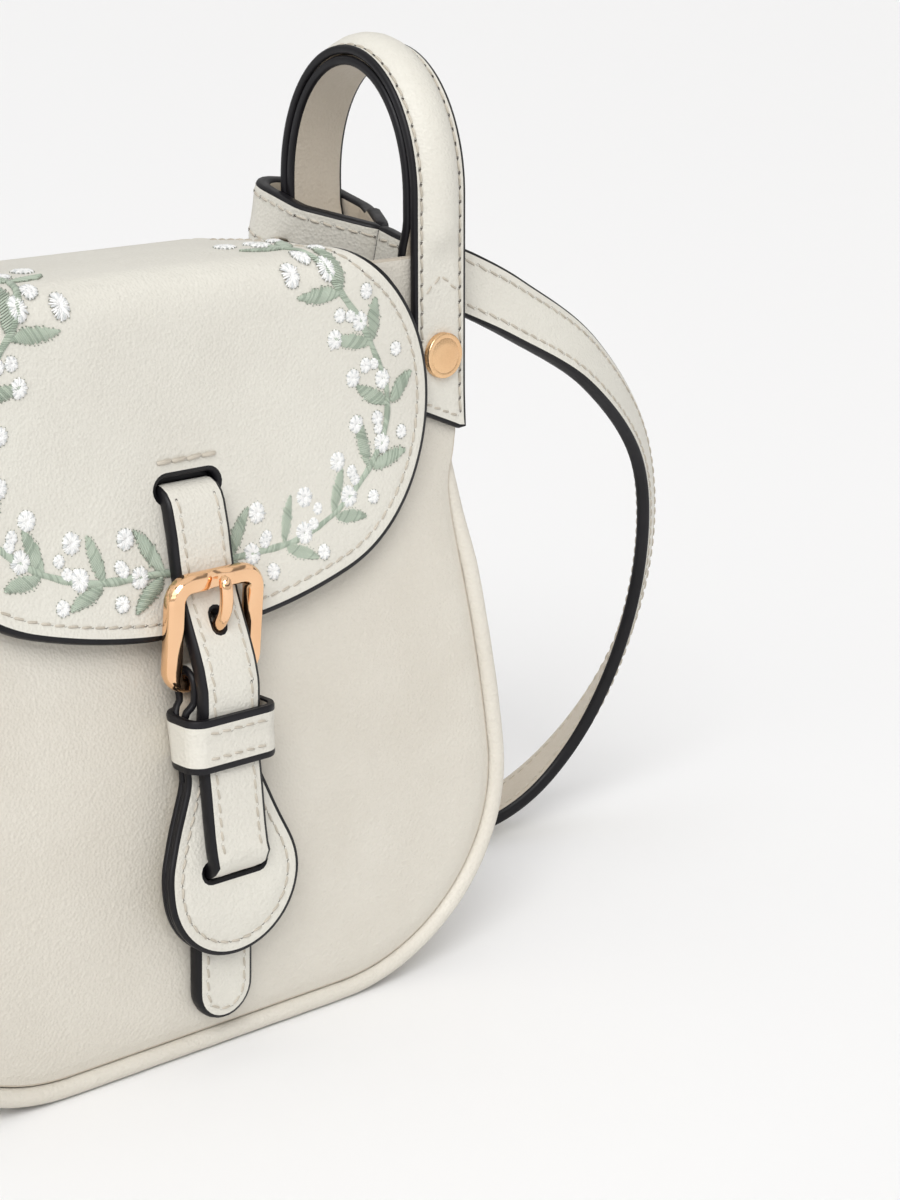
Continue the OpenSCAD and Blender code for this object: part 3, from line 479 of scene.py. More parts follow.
def sheet_mesh(rail, outline, top, bottom, holes=(), grid=3.0, step=1.5, bead=0.25,
               rims=(0.35, 1.0, 2.0, 3.2), lift=None, mats=(0, 2, 1), drop=0.0, into=None,
               under=None):
    """A sheet with rounded edges. outline and holes are loops of (x, s) on the rail; top and
    bottom are the distances of its faces; lift(points, depth) moves both faces outward, and
    under(points) the bottom alone; drop rounds the top down near the edge. The painted edge
    starts rims[0] in from the outline. mats are the numbers for top, bottom and edge."""
    edges = [resample(outline, step), *(resample(h, min(step, 0.8)) for h in holes)]
    outer = edges[0]
    inward = [loop_normals(outer), *(-loop_normals(h) for h in edges[1:])]
    loops = [e + n * rims[0] for e, n in zip(edges, inward)]
    points, links = [], []
    for lp in loops:
        at, count = len(points), len(lp)
        points.extend(lp.tolist())
        links.extend((at + i, at + (i + 1) % count) for i in range(count))
    # Rings along the edge and a grid further in
    rings = [(ring, d * 0.97) for ring, d in ((inset(outer, d), d) for d in rims[1:])]
    axes = [np.linspace(a, b, max(2, int((b - a) / grid)) + 1)
            for a, b in zip(outer.min(0), outer.max(0))]
    rings.append((np.stack(np.meshgrid(*axes), -1).reshape(-1, 2), rims[-1] + grid * 0.45))
    cloud = []
    for ring, least in rings:
        ring = ring[inside(ring, outer)]
        cloud.append(ring[distance(ring, outer) > least])
    cloud = np.vstack(cloud)
    for h, n in zip(edges[1:], inward[1:]):
        cloud = cloud[~inside(cloud, h + n * (rims[0] + 0.5))]
    out = delaunay_2d_cdt([tuple(p) for p in points + cloud.tolist()], links, [], 0, 1e-5)
    flat, tris = np.array([tuple(v) for v in out[0]]), np.array(out[2])
    middle = flat[tris].mean(1)
    tris = tris[inside(middle, loops[0]) & ~np.any([inside(middle, lp) for lp in loops[1:]]
                                                   or [np.zeros(len(tris), bool)], 0)]
    a, b, c = (flat[tris[:, k]] for k in range(3))
    wrong = np.cross(b - a, c - a) < 0
    tris[wrong] = tris[wrong][:, ::-1]
    depth = np.min([distance(flat, e) for e in edges], 0)

    def place(p, d, deep):
        return rail.at(*p.T, d + (lift(p, deep) if lift else 0))

    def low(p):
        return bottom + (under(p) if under else 0)

    mesh = into or Mesh()
    first_vertex, first_face = len(mesh.v), len(mesh.f)
    rounded = top - drop * (1 - smooth((depth - rims[0]) / 2.2))
    mesh.add(place(flat, rounded, depth), tris.tolist(), mats[0])
    mesh.add(place(flat, low(flat), depth), tris[:, ::-1].tolist(), mats[1])
    for k, (lp, edge, n) in enumerate(zip(loops, edges, inward)):
        ids = np.array([np.argmin(np.linalg.norm(flat - p, axis=1)) for p in lp]) + first_vertex
        middle, half = (top + low(edge)) / 2, (top - low(edge)) / 2
        rows = [ids]
        for out_by, share in ((bead * 0.45, 0.86), (bead, 0.4), (bead, -0.4),
                              (bead * 0.4, -0.86)):
            rows.append(np.arange(len(lp)) + len(mesh.v))
            d = middle + half * share - (drop * 0.6 if share > 0 else 0)
            mesh.v.extend(place(edge - n * out_by, d, np.zeros(len(lp))))
        quads = [(a, d, c, b) for a, b, c, d in bands(rows + [ids + len(flat)])]
        mesh.add([], flipped(quads) if turns_left(edge) != (k == 0) else quads, mats[2], at=0)
    if rail.mirrored:
        mesh.f[first_face:] = flipped(mesh.f[first_face:])
    return mesh


def tube(path, radius, sides, up):
    """A round tube along a path of points, its radius a number or one for each point."""
    path = np.asarray(path, float)
    r = np.broadcast_to(radius, (len(path),))[:, None, None]
    t = unit(np.gradient(path, axis=0))
    u = unit(np.cross(t, up))
    w, a = np.cross(t, u)[:, None], circle(sides)[None, :, None]
    v = (path[:, None] + r * (u[:, None] * np.cos(a) + w * np.sin(a))).reshape(-1, 3)
    ends = block(len(path), sides)
    return v, bands(ends) + [tuple(ends[0].tolist())[::-1], tuple(ends[-1].tolist())]


def lathe(profile, centre, axis="y", sides=40, flip=False):
    """A turned shape: profile of (radius, distance along the axis)."""
    v = [(r * math.cos(t), h, r * math.sin(t)) for r, h in profile for t in circle(sides)]
    v = [(y, x, z) if axis == "x" else (x, y, z) for x, y, z in v]
    f = bands(block(len(profile), sides))
    return np.add(v, centre), (flipped(f) if flip else f)


# Along a thread: how far, how high and how thick
THREAD_SHAPE = ((0.0, -0.6, 0.55), (0.12, 0.45, 0.95), (0.5, 1.0, 1.0), (0.88, 0.45, 0.95),
                (1.0, -0.6, 0.55))
THREAD_SIDES = 5
SEAM_R = 0.25


def threads(mesh, starts, ends, normals, radius, arch, mat, flat=1.0):
    """Short threads that rise from the leather and go back into it."""
    columns = block(len(THREAD_SHAPE), THREAD_SIDES).T.tolist()
    faces = bands(columns + columns[:1], closed=False)
    for p, q, n in zip(starts, ends, normals):
        run = q - p
        if np.linalg.norm(run) < 1e-6:
            continue
        t = unit(run)
        n = unit(n - (n @ t) * t)
        u = np.cross(t, n)
        mesh.add([p + run * share + n * arch * rise
                  + radius * thick * (u * math.cos(a) + n * flat * math.sin(a))
                  for share, rise, thick in THREAD_SHAPE for a in circle(THREAD_SIDES)],
                 faces, mat)


def hole_shades_at(mesh, points, normals, along, mat, radius):
    """Small dark discs lying on the leather at the needle holes: painted shade in the holes."""
    fan = [(0, 1 + (k + 1) % 8, 1 + k) for k in range(8)]
    for p, n, t in zip(points, normals, along):
        t = unit(t - (t @ n) * n)
        u = np.cross(t, n)
        mesh.add([p - n * 0.12] + [p + n * 0.03 + radius * (1.5 * t * math.cos(a)
                                                            + u * math.sin(a))
                                   for a in circle(8)], fan, mat)


def stitch_row(mesh, rail, line, top, pitch, radius=SEAM_R, cover=0.74, slant=0.12, holes=True):
    """A row of stitches along a line of (x, s) points, on the face at distance top."""
    line = np.asarray(line, float)
    s = lengths(line)
    n = max(1, int(round(s[-1] / pitch)))
    step = s[-1] / n
    heads = (np.arange(n) + 0.5) * step
    a, b = (read(line, s, heads + way * step * cover / 2) for way in (-1, 1))
    side = unit(np.stack([-(b - a)[:, 1], (b - a)[:, 0]], 1))
    jitter = rng.normal(0, 0.05, (n, 1))
    a, b = a - side * (slant + jitter), b + side * (slant + jitter)
    pa, pb, nn = rail.at(*a.T, top), rail.at(*b.T, top), rail.out((a + b) / 2, top)
    threads(mesh, pa, pb, nn, radius, 0.16, 0)
    # A dark disc at each end of a stitch: painted shade in its needle hole
    if holes:
        ends = np.vstack([pa + (pa - pb) * 0.07, pb + (pb - pa) * 0.07])
        hole_shades_at(mesh, ends, np.tile(nn, (2, 1)), np.tile(pb - pa, (2, 1)), 1, radius * 1.05)


def seams(name, body, rows):
    """Rows of stitches, each (rail, line, top, pitch), as one piece."""
    mesh = Mesh()
    for row in rows:
        stitch_row(mesh, *row)
    return mesh.make(name, [THREAD, HOLE_SHADE], body)


# ---------------------------------------------------------------- body shell
def ripple(x, z, size, seed):
    """A slow uneven sag of the leather."""
    return size * (0.5 * np.sin(x * 0.061 + 1.3 + seed) * np.sin(z * 0.052 + 0.7)
                   + 0.3 * np.sin(x * 0.113 - z * 0.07 + 2.1 + seed)
                   + 0.2 * np.sin(z * 0.151 + x * 0.034 + seed))


# The panel's edge: how far it lies inside the body's outline at a height
EDGE_LINE = [(84, 2 * PIPE_R + 0.2), (95, 2 * PIPE_R), (100, 1.8 * PIPE_R), (104, 1.35 * PIPE_R),
             (106, PIPE_R), (112, 0.2)]

# A rail up the front of the bag whose s is the height
front_z = np.arange(-2.0, BODY_H + 3, 1.0)
FRONT = profile_rail(np.stack([-half_depth(front_z), front_z], 1))
FRONT.s = front_z


def panel_piece(word):
    back = word == "back"
    right = corner(EDGE_LINE[0][1], 24) + [(side_x(z, i), z) for z, i in EDGE_LINE]
    right += [(side_x(BODY_H - 1.2, 0.2), BODY_H - 1.2), (side_x(BODY_H, 1.2), BODY_H)]

    def sag(p, deep):
        edge = smooth(1 - deep / 4.5)
        low = smooth((108 - p[:, 1]) / 8)
        push = ripple(p[:, 0], p[:, 1], 0.3, 2.0 if back else 0.0) - 0.1
        return push * (1 - edge) * smooth((BODY_H - p[:, 1]) / 12) - 0.9 * edge ** 1.5 * low

    mesh = sheet_mesh(FRONT, mirrored(right), 0.0, -1.6, grid=3.5, step=2.0, lift=sag,
                      mats=(0, 1, 1), bead=0.1)
    if back:
        mesh.behind()
    mesh.make(word + "_panel_shell", [CREAM_BODY, CREAM_INNER], replaces=[word + "_panel"],
              sharp=50)


def body_line(depth, top=GUSSET_H, step=2.5, spare=2, flat=3, n=26):
    """The body's outline at an inset, from the right side's top round the bottom."""
    half = [(side_x(z, depth), z) for z in np.arange(top, CORNER_R + spare, -step)]
    half += arc(CORNER_X, CORNER_R, CORNER_R - depth, side_angle(depth), -90, n)
    half += [(x, depth) for x in np.arange(CORNER_X - flat, 0.1, -flat)]
    return np.array(half + [(0, depth)] + [(-x, z) for x, z in reversed(half)])


def gusset_piece():
    paths = [body_line(depth) for depth in (0.0, 1.6)]
    n, across, centre = min(map(len, paths)), np.linspace(-1, 1, 29), np.array([0.0, 60.0])
    verts = []
    for p in (p for path in paths for p in path[:n]):
        x, z = p
        w = float(half_depth(z)) - np.interp(z, [84, 106], [3.3, 5.8])
        d = unit(p - centre)
        high, low = smooth((z - 60) / 60), smooth((z - 4) / 20)
        for u in across:
            valley, puff = (1 - abs(u)) ** 1.6, 1 - u * u
            move = (-2.3 * high * valley + 0.25 * puff * (1 - high) * low
                    + 0.18 * math.sin(z * 0.23 + u * 3) * puff * low)
            verts.append((x + d[0] * move, u * w, z + d[1] * move * min(1, low)))
    outer, inner = (block(n, len(across), at) for at in (0, n * len(across)))
    mesh = Mesh()
    mesh.add(verts, bands(outer, False), 0)
    for rows, mat, flip in ((inner, 1, True), ((outer[0], inner[0]), 2, True),
                            ((outer[-1], inner[-1]), 2, False),
                            ((outer[:, 0], inner[:, 0]), 1, False),
                            ((outer[:, -1], inner[:, -1]), 1, True)):
        faces = bands(rows, False)
        mesh.add([], flipped(faces) if flip else faces, mat, at=0)
    mesh.make("gusset_shell", [CREAM_BODY, CREAM_INNER, BLACK], replaces=["gusset"], sharp=60)


def piping_piece(word):
    x, z = body_line(PIPE_R, PIPE_TOP, 2, 4, 2, 36).T
    sink = np.interp(z, [84, 106], [1.2, 3.7])
    s = np.arange(len(x))
    mesh = Mesh()
    mesh.add(*tube(np.stack([x, -(half_depth(z) - sink), z], 1),
                   PIPE_R * (1 - 0.02 * (1 + np.sin(s * 0.9) * np.sin(s * 0.37))), 20, (0, 1, 0)))
    if word == "back":
        mesh.behind()
    mesh.make(word + "_piping_cord", [CREAM_BODY], replaces=[word + "_piping"])


panel_piece("front")
panel_piece("back")
gusset_piece()
piping_piece("front")
piping_piece("back")


# ---------------------------------------------------------------- lining and pocket
def lining_piece():
    mesh, depth, low_z, columns = Mesh(), 4.3, 3.8, 15
    right = [(x, max(z, low_z)) for x, z in corner(depth, 20)]
    right += [(side_x(z, depth), z) for z in (80, 100, 120, 123)]
    right += [(61.0, 123.5), (61.0, 144.5), (60.0, 145.8)]

    def sag(p, deep):
        return -0.25 * (1 + np.sin(p[:, 0] * 0.12 + p[:, 1] * 0.05)) * smooth(deep / 6)

    for back in (False, True):
        wall = sheet_mesh(FRONT, mirrored(right), -3.7, -4.5, grid=5.0, step=3.0, bead=0.05,
                          rims=(0.3, 1.2, 2.5), mats=(0, 0, 0), lift=sag)
        if back:
            wall.behind()
        mesh.add(wall.v, wall.f)
    paths = []
    for inner in (4.4, 5.2):
        path = body_line(inner)
        path = path[path[:, 1] <= 123.3]
        path[:, 1] = np.maximum(path[:, 1], low_z + inner - depth)
        paths.append(path)
    n = min(map(len, paths))
    verts = [(x, u * (float(half_depth(z)) - 3.9), z) for path in paths for x, z in path[:n]
             for u in np.linspace(-1, 1, columns)]
    mesh.add(verts, bands(block(n, columns), False)
             + flipped(bands(block(n, columns, n * columns), False)))
    mesh.make("lining_shell", [LINING], slot="lining", replaces=["lining"], sharp=60)


def pocket_piece():
    half_w, top = 38, 112

    def bow(p, deep):
        return -0.9 * smooth((p[:, 1] - 80) / 30) * (1 - (p[:, 0] / half_w) ** 2)

    look = dict(grid=4.0, step=2.0, bead=0.05, mats=(0, 0, 0), lift=bow)
    mesh = sheet_mesh(FRONT, rect(-half_w, half_w, 52, top, 3), -4.8, -5.6,
                      rims=(0.3, 1.0, 2.0), **look)
    # Its hem
    sheet_mesh(FRONT, rect(-half_w, half_w, 105, top, 1), -5.7, -6.2, rims=(0.3, 1.0), into=mesh,
               **look)
    mesh.behind().make("slip_pocket_cloth", [LINING], slot="lining", replaces=["slip_pocket"],
                       sharp=60)


lining_piece()
pocket_piece()

# ---------------------------------------------------------------- flap
FLAP_OFF, FLAP_HALF, FLAP_SEAM = 4.0, 1.6, 2.6
# Where the front bends over to the top, and the top's height there
BEND_Z, CREST_Z, BACK_Y = 144.9, 149.9, 21.0
FLAP_CORNER = [(49.2, 0.4), (46.6, 2.4), (43.7, 4.6), (41.3, 6.8), (39.6, 9.2), (38.5, 12),
               (37.8, 16), (FLAP_TOP_X, 21)]


def flap_profile():
    """From the bottom edge of the front, up, over the top and down the back strip."""
    front = [(front_y(h, FLAP_OFF), h) for h in np.arange(FLAP_BOTTOM, BEND_Z, 0.8)]
    bend = [(-18.2 - 5 * math.cos(t), BEND_Z + 5 * math.sin(t))
            for t in np.radians(np.linspace(0, 90, 10))]
    fall = 1.9
    top = [(y, CREST_Z - fall * smooth((y + 10) / 31) + 0.25 * math.sin((y + 17) / 34 * math.pi))
           for y in np.linspace(-17, 17, 24)]
    fold = [(BACK_Y - 3 + 3 * math.sin(t), 146.9 - fall + 0.1 + 3 * math.cos(t))
            for t in np.radians(np.linspace(0, 90, 12))]
    strip = [(BACK_Y, h) for h in np.arange(144, 125.5, -1.5)]
    pts = np.array(front + bend + top + fold + strip)
    return pts[np.concatenate([[True], np.linalg.norm(np.diff(pts, axis=0), axis=1) > 0.05])]


FLAP = profile_rail(flap_profile())
flap_crest = int(np.argmax(FLAP.p[:, 2] * (FLAP.p[:, 1] < 0))) + 1


def flap_s(z):
    """Arc length on the flap at a height of its front."""
    return np.interp(z, FLAP.p[:flap_crest, 2], FLAP.s[:flap_crest])


def flap_outline():
    high = FLAP_SIDE_Z - FLAP_BOTTOM
    r = (FLAP_SIDE_X ** 2 + high ** 2 - FLAP_SIDE_R ** 2) / (2 * (high - FLAP_SIDE_R))
    turn = math.degrees(math.atan2(FLAP_SIDE_X, FLAP_BOTTOM + r - FLAP_SIDE_Z)) - 90
    right = arc(0, FLAP_BOTTOM + r, r, -90, turn, 10)
    right += arc(FLAP_SIDE_X, FLAP_SIDE_Z, FLAP_SIDE_R, turn, 42, 40)[1:]
    right = [(x, float(flap_s(z))) for x, z in right]
    # The corners run in over the bend to the narrower top
    right += [(x, float(flap_s(BEND_Z)) + along) for x, along in FLAP_CORNER]
    right += [(FLAP_TOP_X, FLAP.length - 3), (FLAP_TOP_X - 3, FLAP.length)]
    return mirrored(right)


def flap_piece():
    outline = resample(flap_outline(), 1.5)
    slit_s, end = float(flap_s(SLIT_Z + 1.1)), FLAP.length

    def lift(p, deep):
        groove = -0.22 * np.exp(-((deep - FLAP_SEAM) / 0.5) ** 2)
        puff = 0.12 * smooth((deep - 3) / 6)
        front = smooth((flap_s(140) - p[:, 1]) / 20)
        wave = ripple(p[:, 0] * 1.2, p[:, 1], 0.22, 4.0) * front
        return np.where(p[:, 1] < flap_s(146), groove + puff + wave * smooth(deep / 8), groove)

    def thin(p):
        """The sheet is pared where it runs over the mouth."""
        return smooth((p[:, 1] - flap_s(BEND_Z) - 4) / 8) * smooth((end - 22 - p[:, 1]) / 4)

    mesh = sheet_mesh(FLAP, outline, FLAP_HALF, -FLAP_HALF, holes=[slot_loop(4.8, slit_s, 2.6)],
                      grid=2.6, step=1.5, bead=0.55, rims=(0.55, 1.2, 1.9, 2.5, 3.1, 4.4),
                      lift=lift, drop=0.12, under=thin)
    # The lining runs on behind the slit; its face that shows through the slit is black edge paint,
    # painted shade in the slit's opening
    sheet_mesh(FLAP, rect(-10.5, 10.5, slit_s - 4.6, slit_s + 4.6, 2.5), -1.05,
               -FLAP_HALF - 0.08, grid=2.0, step=1.2, bead=0.02, rims=(0.2, 0.8), mats=(1, 2, 2),
               into=mesh)
    ob = mesh.make("flap_leather", CUT, body=None, sharp=60,
                   replaces=["flap_outer", "flap_lining", "flap_back_strip"])
    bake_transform(ob)
    line = inset(outline, FLAP_SEAM)
    slit_seam = float(flap_s(SLIT_Z)) + 6.4
    stitches = Mesh()
    stitch_row(stitches, FLAP, opened(line[line[:, 1] < flap_s(149.4) + 34]), FLAP_HALF - 0.2,
               2.85, 0.27)
    stitch_row(stitches, FLAP, [(-6.8, slit_seam), (6.8, slit_seam)], FLAP_HALF, 3.4, 0.5,
               cover=0.98, slant=0.1, holes=False)
    stitches.make("flap_stitches", [THREAD, HOLE_SHADE], "flap")
    side, top = FLAP_TOP_X - 3, FLAP_HALF - 0.05
    rows = [(FLAP, [(-side, s), (side, s)], top, 2.85, 0.27) for s in (end - 3.0, end - 16.0)]
    rows += [(FLAP, [(x, end - 15.0), (x, end - 4)], top, 2.9, 0.27) for x in (-side, side)]
    seams("back_strip_stitches", "bag", rows)


flap_piece()

# ---------------------------------------------------------------- embroidery
# Materials of the garland; the grey petal threads and the dots are painted shade
GREEN, DEEP_GREEN, PETAL, PETAL_SHADE, DOT = range(5)
# Flowers beside each pair of leaves: along the stem, off to its left, radius
FLOWERS = ((5.4, 0.2, 2.0), (8.6, 1.4, 1.25), (8.4, 7.2, 1.9), (8.8, -4.6, 1.45),
           (-3.2, 2.9, 1.35))
LEAF_PAIRS = 8


def garland():
    """Leaves and flowers on a stem that follows the flap's edge, the same on both sides. Every
    stitch is its own thread."""
    mesh = Mesh()
    edge = resample(flap_outline(), 0.6)
    s_low, s_high = float(flap_s(132)), float(flap_s(BEND_Z)) + 24
    depth = 11.2 - 4.4 * smooth((edge[:, 1] - s_low) / (s_high - s_low))
    path = inset(edge, depth[:, None])
    path = path[(path[:, 0] >= -0.3) & (path[:, 1] < s_high)]
    path = path[np.argsort(np.unwrap(np.arctan2(path[:, 1] - 42, path[:, 0])))]
    s = lengths(path)
    total = s[-1]

    def stem(t):
        """A point of the stem, its direction and its left side."""
        before, here, after = (read(path, s, np.clip(t + k, 0, total)) for k in (-2.0, 0.0, 2.0))
        d = unit(after - before)
        n = np.array([-d[1], d[0]])
        return here + n * 0.7 * math.sin(t / 5.3), d, n

    def put(lines, radius, arch, mats):
        lines, mats = np.array(lines), np.array(mats)
        for mat in np.unique(mats):
            a, b = lines[mats == mat, 0], lines[mats == mat, 1]
            pa, pb = (FLAP.at(*p.T, FLAP_HALF + 0.1) for p in (a, b))
            threads(mesh, pa, pb, FLAP.out((a + b) / 2, FLAP_HALF), radius, arch, int(mat), 0.8)

    def turn(v, angle):
        c, q = math.cos(angle), math.sin(angle)
        return np.array([v[0] * c - v[1] * q, v[0] * q + v[1] * c])

    def leaf(root, axis, long, half, flip):
        wide = np.array([-axis[1], axis[0]])
        lines, mats, dots = [], [], []
        for u in np.arange(0.25, long, 0.4):
            w = half * math.sin(math.pi * (u / long) ** 0.85) ** 0.8
            w = w * (1 + rng.normal(0, 0.1)) + 0.1
            skew = 0.6 * w
            a = root + axis * max(u - skew, 0) - wide * w
            b = root + axis * min(u + skew, long + 0.3) + wide * w
            lines.append((a * flip, b * flip))
            mats.append(GREEN if rng.random() < 0.68 else DEEP_GREEN)
        put(lines, 0.19, 0.28, mats)
        # Tiny dark marks where the threads go back into the leather: painted shade in their needle
        # holes
        for a, b in lines[1::2]:
            out, short = unit(b - a) * 0.02, axis * flip * 0.17
            dots += [(at - short, at + short) for at in (a - out, b + out)]
        put(dots, 0.1, 0.16, [DOT] * len(dots))

    def flower(c, r, flip):
        lines, mats, rim = [], [], []
        count = int(15 + 7 * r)
        for k in range(count):
            angle = 2 * math.pi * (k + rng.normal(0, 0.1)) / count
            e = np.array([math.cos(angle), 1.08 * math.sin(angle)])
            root = -0.1 if k % 2 else 0.3 * r
            end = (c + e * r * (1 + rng.normal(0, 0.05))) * flip
            lines.append(((c + e * root) * flip, end))
            # Every fourth petal thread is the grey copy: painted shade between the petals
            mats.append(PETAL if k % 4 else PETAL_SHADE)
            across = np.array([-e[1], e[0]]) * 0.12
            rim.append((end - across * flip, end + across * flip))
        put(lines, 0.14 + 0.04 * r, 0.24 + 0.04 * r, mats)
        # Dark dots at the petal tips: painted shade round the flower's edge
        put(rim[::2], 0.09, 0.13, [DOT] * len(rim[::2]))

    for side in (1, -1):
        flip = np.array([side, 1.0])
        lines = []
        for t in np.arange(3.0, total - 6, 0.42):
            p, d, n = stem(t)
            w = 0.72 + 0.1 * math.sin(t * 1.1)
            lines.append(((p - d * 0.5 - n * w) * flip, (p + d * 0.7 + n * w) * flip))
        put(lines, 0.22, 0.22, [GREEN if rng.random() < 0.6 else DEEP_GREEN for _ in lines])
        for k in range(LEAF_PAIRS):
            t = 7.5 + k * ((total - 8) / LEAF_PAIRS)
            p, d, n = stem(t)
            big = 1 + 0.1 * math.sin(2.3 * k + 1)
            left = turn(d, math.radians(52 + 9 * math.sin(1.9 * k)))
            right = turn(d, -math.radians(38 + 8 * math.cos(1.7 * k)))
            leaf(p + n * 0.5, left, 9.6 * big, 1.5, flip)
            leaf(p - n * 0.5 + d * 0.6, right, 8.2 * big, 1.55, flip)
            for along, off, r in FLOWERS:
                if t + along > total - 1 or t + along < 3:
                    continue
                q, _, m = stem(t + along + 0.5 * math.sin(3 * k + off))
                flower(q + m * (off + 0.4 * math.sin(2 * k + along)),
                       r * (1 + 0.08 * math.sin(k + off)), flip)
    mesh.make("flap_embroidery", [SAGE, SAGE_DEEP, WHITE, WHITE_SHADE, SHADE_DOTS], "flap")


garland()

# ---------------------------------------------------------------- handles
ARCH_LOW = 159.0
LIMB_H = np.arange(104.0, ARCH_LOW - 1, 1.5)


def handle_rail(limb, r):
    """Up the front limb, over the arch and down the back; the limbs stand r from the middle,
    and the arch is a little taller than round."""
    high = ARCH_Z - ARCH_LOW + r
    arch = [(-r * math.cos(t), ARCH_LOW + high * math.sin(t))
            for t in np.radians(np.linspace(0, 180, 61))]
    return profile_rail(limb + arch + [(-y, h) for y, h in reversed(limb)])


HANDLE = handle_rail([(front_y(h, 1.1), h) for h in LIMB_H], 20.3)
foot_s, pad_s = (float(np.interp(z, HANDLE.p[:n, 2], HANDLE.s[:n]))
                 for z, n in ((117.0, 30), (146.0, 41)))
FOOT_SLANT = math.tan(math.radians(23))


def crown_sheet(rail, loop, lift):
    """A handle's leather: flat below, and lifted over its padding on top."""
    mesh, raised = (sheet_mesh(rail, loop, 1.0, -0.9, grid=1.5, step=1.6, bead=0.4,
                               rims=(0.4, 1.1, 1.6, 2.1), drop=0.1, lift=by)
                    for by in (None, lift))
    top = {i for f, m in zip(mesh.f, mesh.m) if m == 0 for i in f}
    mesh.v = [raised.v[i] if i in top else v for i, v in enumerate(mesh.v)]
    return mesh


def to_side(ob, side):
    """Moves a piece built on X = 0 to its handle, mirrored on the left."""
    co = np.zeros(len(ob.data.vertices) * 3)
    ob.data.vertices.foreach_get("co", co)
    co[::3] = (co[::3] + HANDLE_X * MM) * side
    ob.data.vertices.foreach_set("co", co)
    if side < 0:
        ob.data.flip_normals()
    ob.data.update()


def handle_pieces(side, word):
    w, length, seam_x = HANDLE_W / 2, HANDLE.length, 5.05

    def low(x):
        """Where a foot ends; its outer corner hangs lower."""
        return foot_s - (x + w) * FOOT_SLANT

    foot = [(a, low(a)) for a in np.linspace(-w + 0.5, w - 0.5, 8)]
    first, last = (-w, low(-w) + 0.6), (w, low(w) + 0.6)
    loop = [first, *foot, last]
    loop += [(a, length - s) for a, s in reversed(loop)]

    def lift(p, deep):
        s, x = p[:, 1], np.abs(p[:, 0])
        run = np.minimum(smooth((s - pad_s) / 7), smooth((length - pad_s - s) / 7))
        crown = 2.1 * np.clip(1 - (x / 4.6) ** 2, 0, 1) ** 0.75
        return crown * run - 0.24 * np.exp(-((x - seam_x) / 0.42) ** 2)

    name = word + "_handle_"
    outer = crown_sheet(HANDLE, loop, lift).make(name + "leather", CUT, sharp=60,
                                                 replaces=[name + "outer", name + "core"])
    limb = [(-16.6, h) for h in np.arange(120.2, 147.5, 1.5)]
    limb += [(-16.8, 148.5), (-17.4, 150.5), (-18.0, 152.5), (-18.3, 154)]
    limb += [(-18.3, h) for h in np.arange(155.5, ARCH_LOW - 1, 1.5)]
    rail = handle_rail(limb, 18.3)
    inner = sheet_mesh(rail, rect(-w, w, 0, rail.length, 1.0), 0.8, -1.1, grid=2.6, step=1.8,
                       bead=0.4, rims=(0.4, 1.0, 1.8), mats=(0, 0, 1))
    inner = inner.make(name + "lining", [CREAM_INNER, BLACK], slot="leather_inner",
                       replaces=[name + "inner"], sharp=60)
    rows = [(HANDLE, [(x, low(x) + 3.0), (x, length - low(x) - 3.0)], 0.9 - 0.06, 2.8)
            for x in (-seam_x, seam_x)]
    across = [(a, low(a) + 2.0) for a in np.linspace(-4.4, 4.4, 5)]
    chevron = [(-4.3, pad_s - 6.0), (0.0, pad_s - 2.6), (4.3, pad_s - 6.0)]
    rows += [(HANDLE, [(a, abs(end - s)) for a, s in row], 0.9, 2.6)
             for end in (0, length) for row in (across, chevron)]
    for ob in (outer, inner, seams(name + "stitches", "bag", rows)):
        to_side(ob, side)


handle_pieces(1, "right")
handle_pieces(-1, "left")


# ---------------------------------------------------------------- rivets and snap
AXIS_R = 0.001


def disc_profile(r, h, rim=0.35):
    """A flat head with a soft rim and a shallow dome, from its seat outward."""
    return [(AXIS_R, -0.05), (r, -0.02), (r, h - rim),
            *((r - rim + rim * math.cos(t), h - rim + rim * math.sin(t))
              for t in np.radians([20, 45, 70, 90])),
            (r - 0.9, h - 0.01), (r - 1.05, h - 0.07), (r - 1.2, h), (r * 0.4, h + 0.03),
            (AXIS_R, h + 0.04)]


def rivets():
    heads, caps = Mesh(), Mesh()
    shank = [(AXIS_R, 0), (1.5, 0), (1.5, 7.3), (AXIS_R, 7.3)]
    for side, back in ((1, 1), (1, -1), (-1, 1), (-1, -1)):
        for mesh, y, profile, way, sides in ((heads, 21.4, disc_profile(4.6, 1.25), back, 40),
                                             (heads, 21.4, shank, -back, 20),
                                             (caps, 14.3, disc_profile(4.0, 0.85, 0.3), -back, 40)):
            mesh.add(*lathe([(r, way * h) for r, h in profile],
                            (side * HANDLE_X, back * y, RIVET_Z), sides=sides, flip=way > 0))
    for mesh, name, node in ((heads, "rivet_heads", "handle_rivets"),
                             (caps, "rivet_backs", "rivet_caps")):
        mesh.make(name, [GOLD_SATIN], slot="rose_gold", replaces=[node], sharp=40)


def tilted(base, angle, x, y, z):
    """A point turned about an X line through base."""
    c, s = math.cos(angle), math.sin(angle)
    return base + np.array([x, y * c - z * s, y * s + z * c])


def snap_piece(word, body, flip, profile):
    slope = math.atan(-LEAN * (SNAP_Z - FULL_Z) / (TURN_Z - FULL_Z))
    v, f = lathe(profile, (0, 0, 0), flip=flip)
    mesh = Mesh()
    mesh.add([tilted(np.array([0.0, front_y(SNAP_Z), SNAP_Z]), slope, *p) for p in v], f)
    mesh.make(word + "_disc", [GOLD_SATIN], body, "rose_gold", replaces=[word], sharp=35)


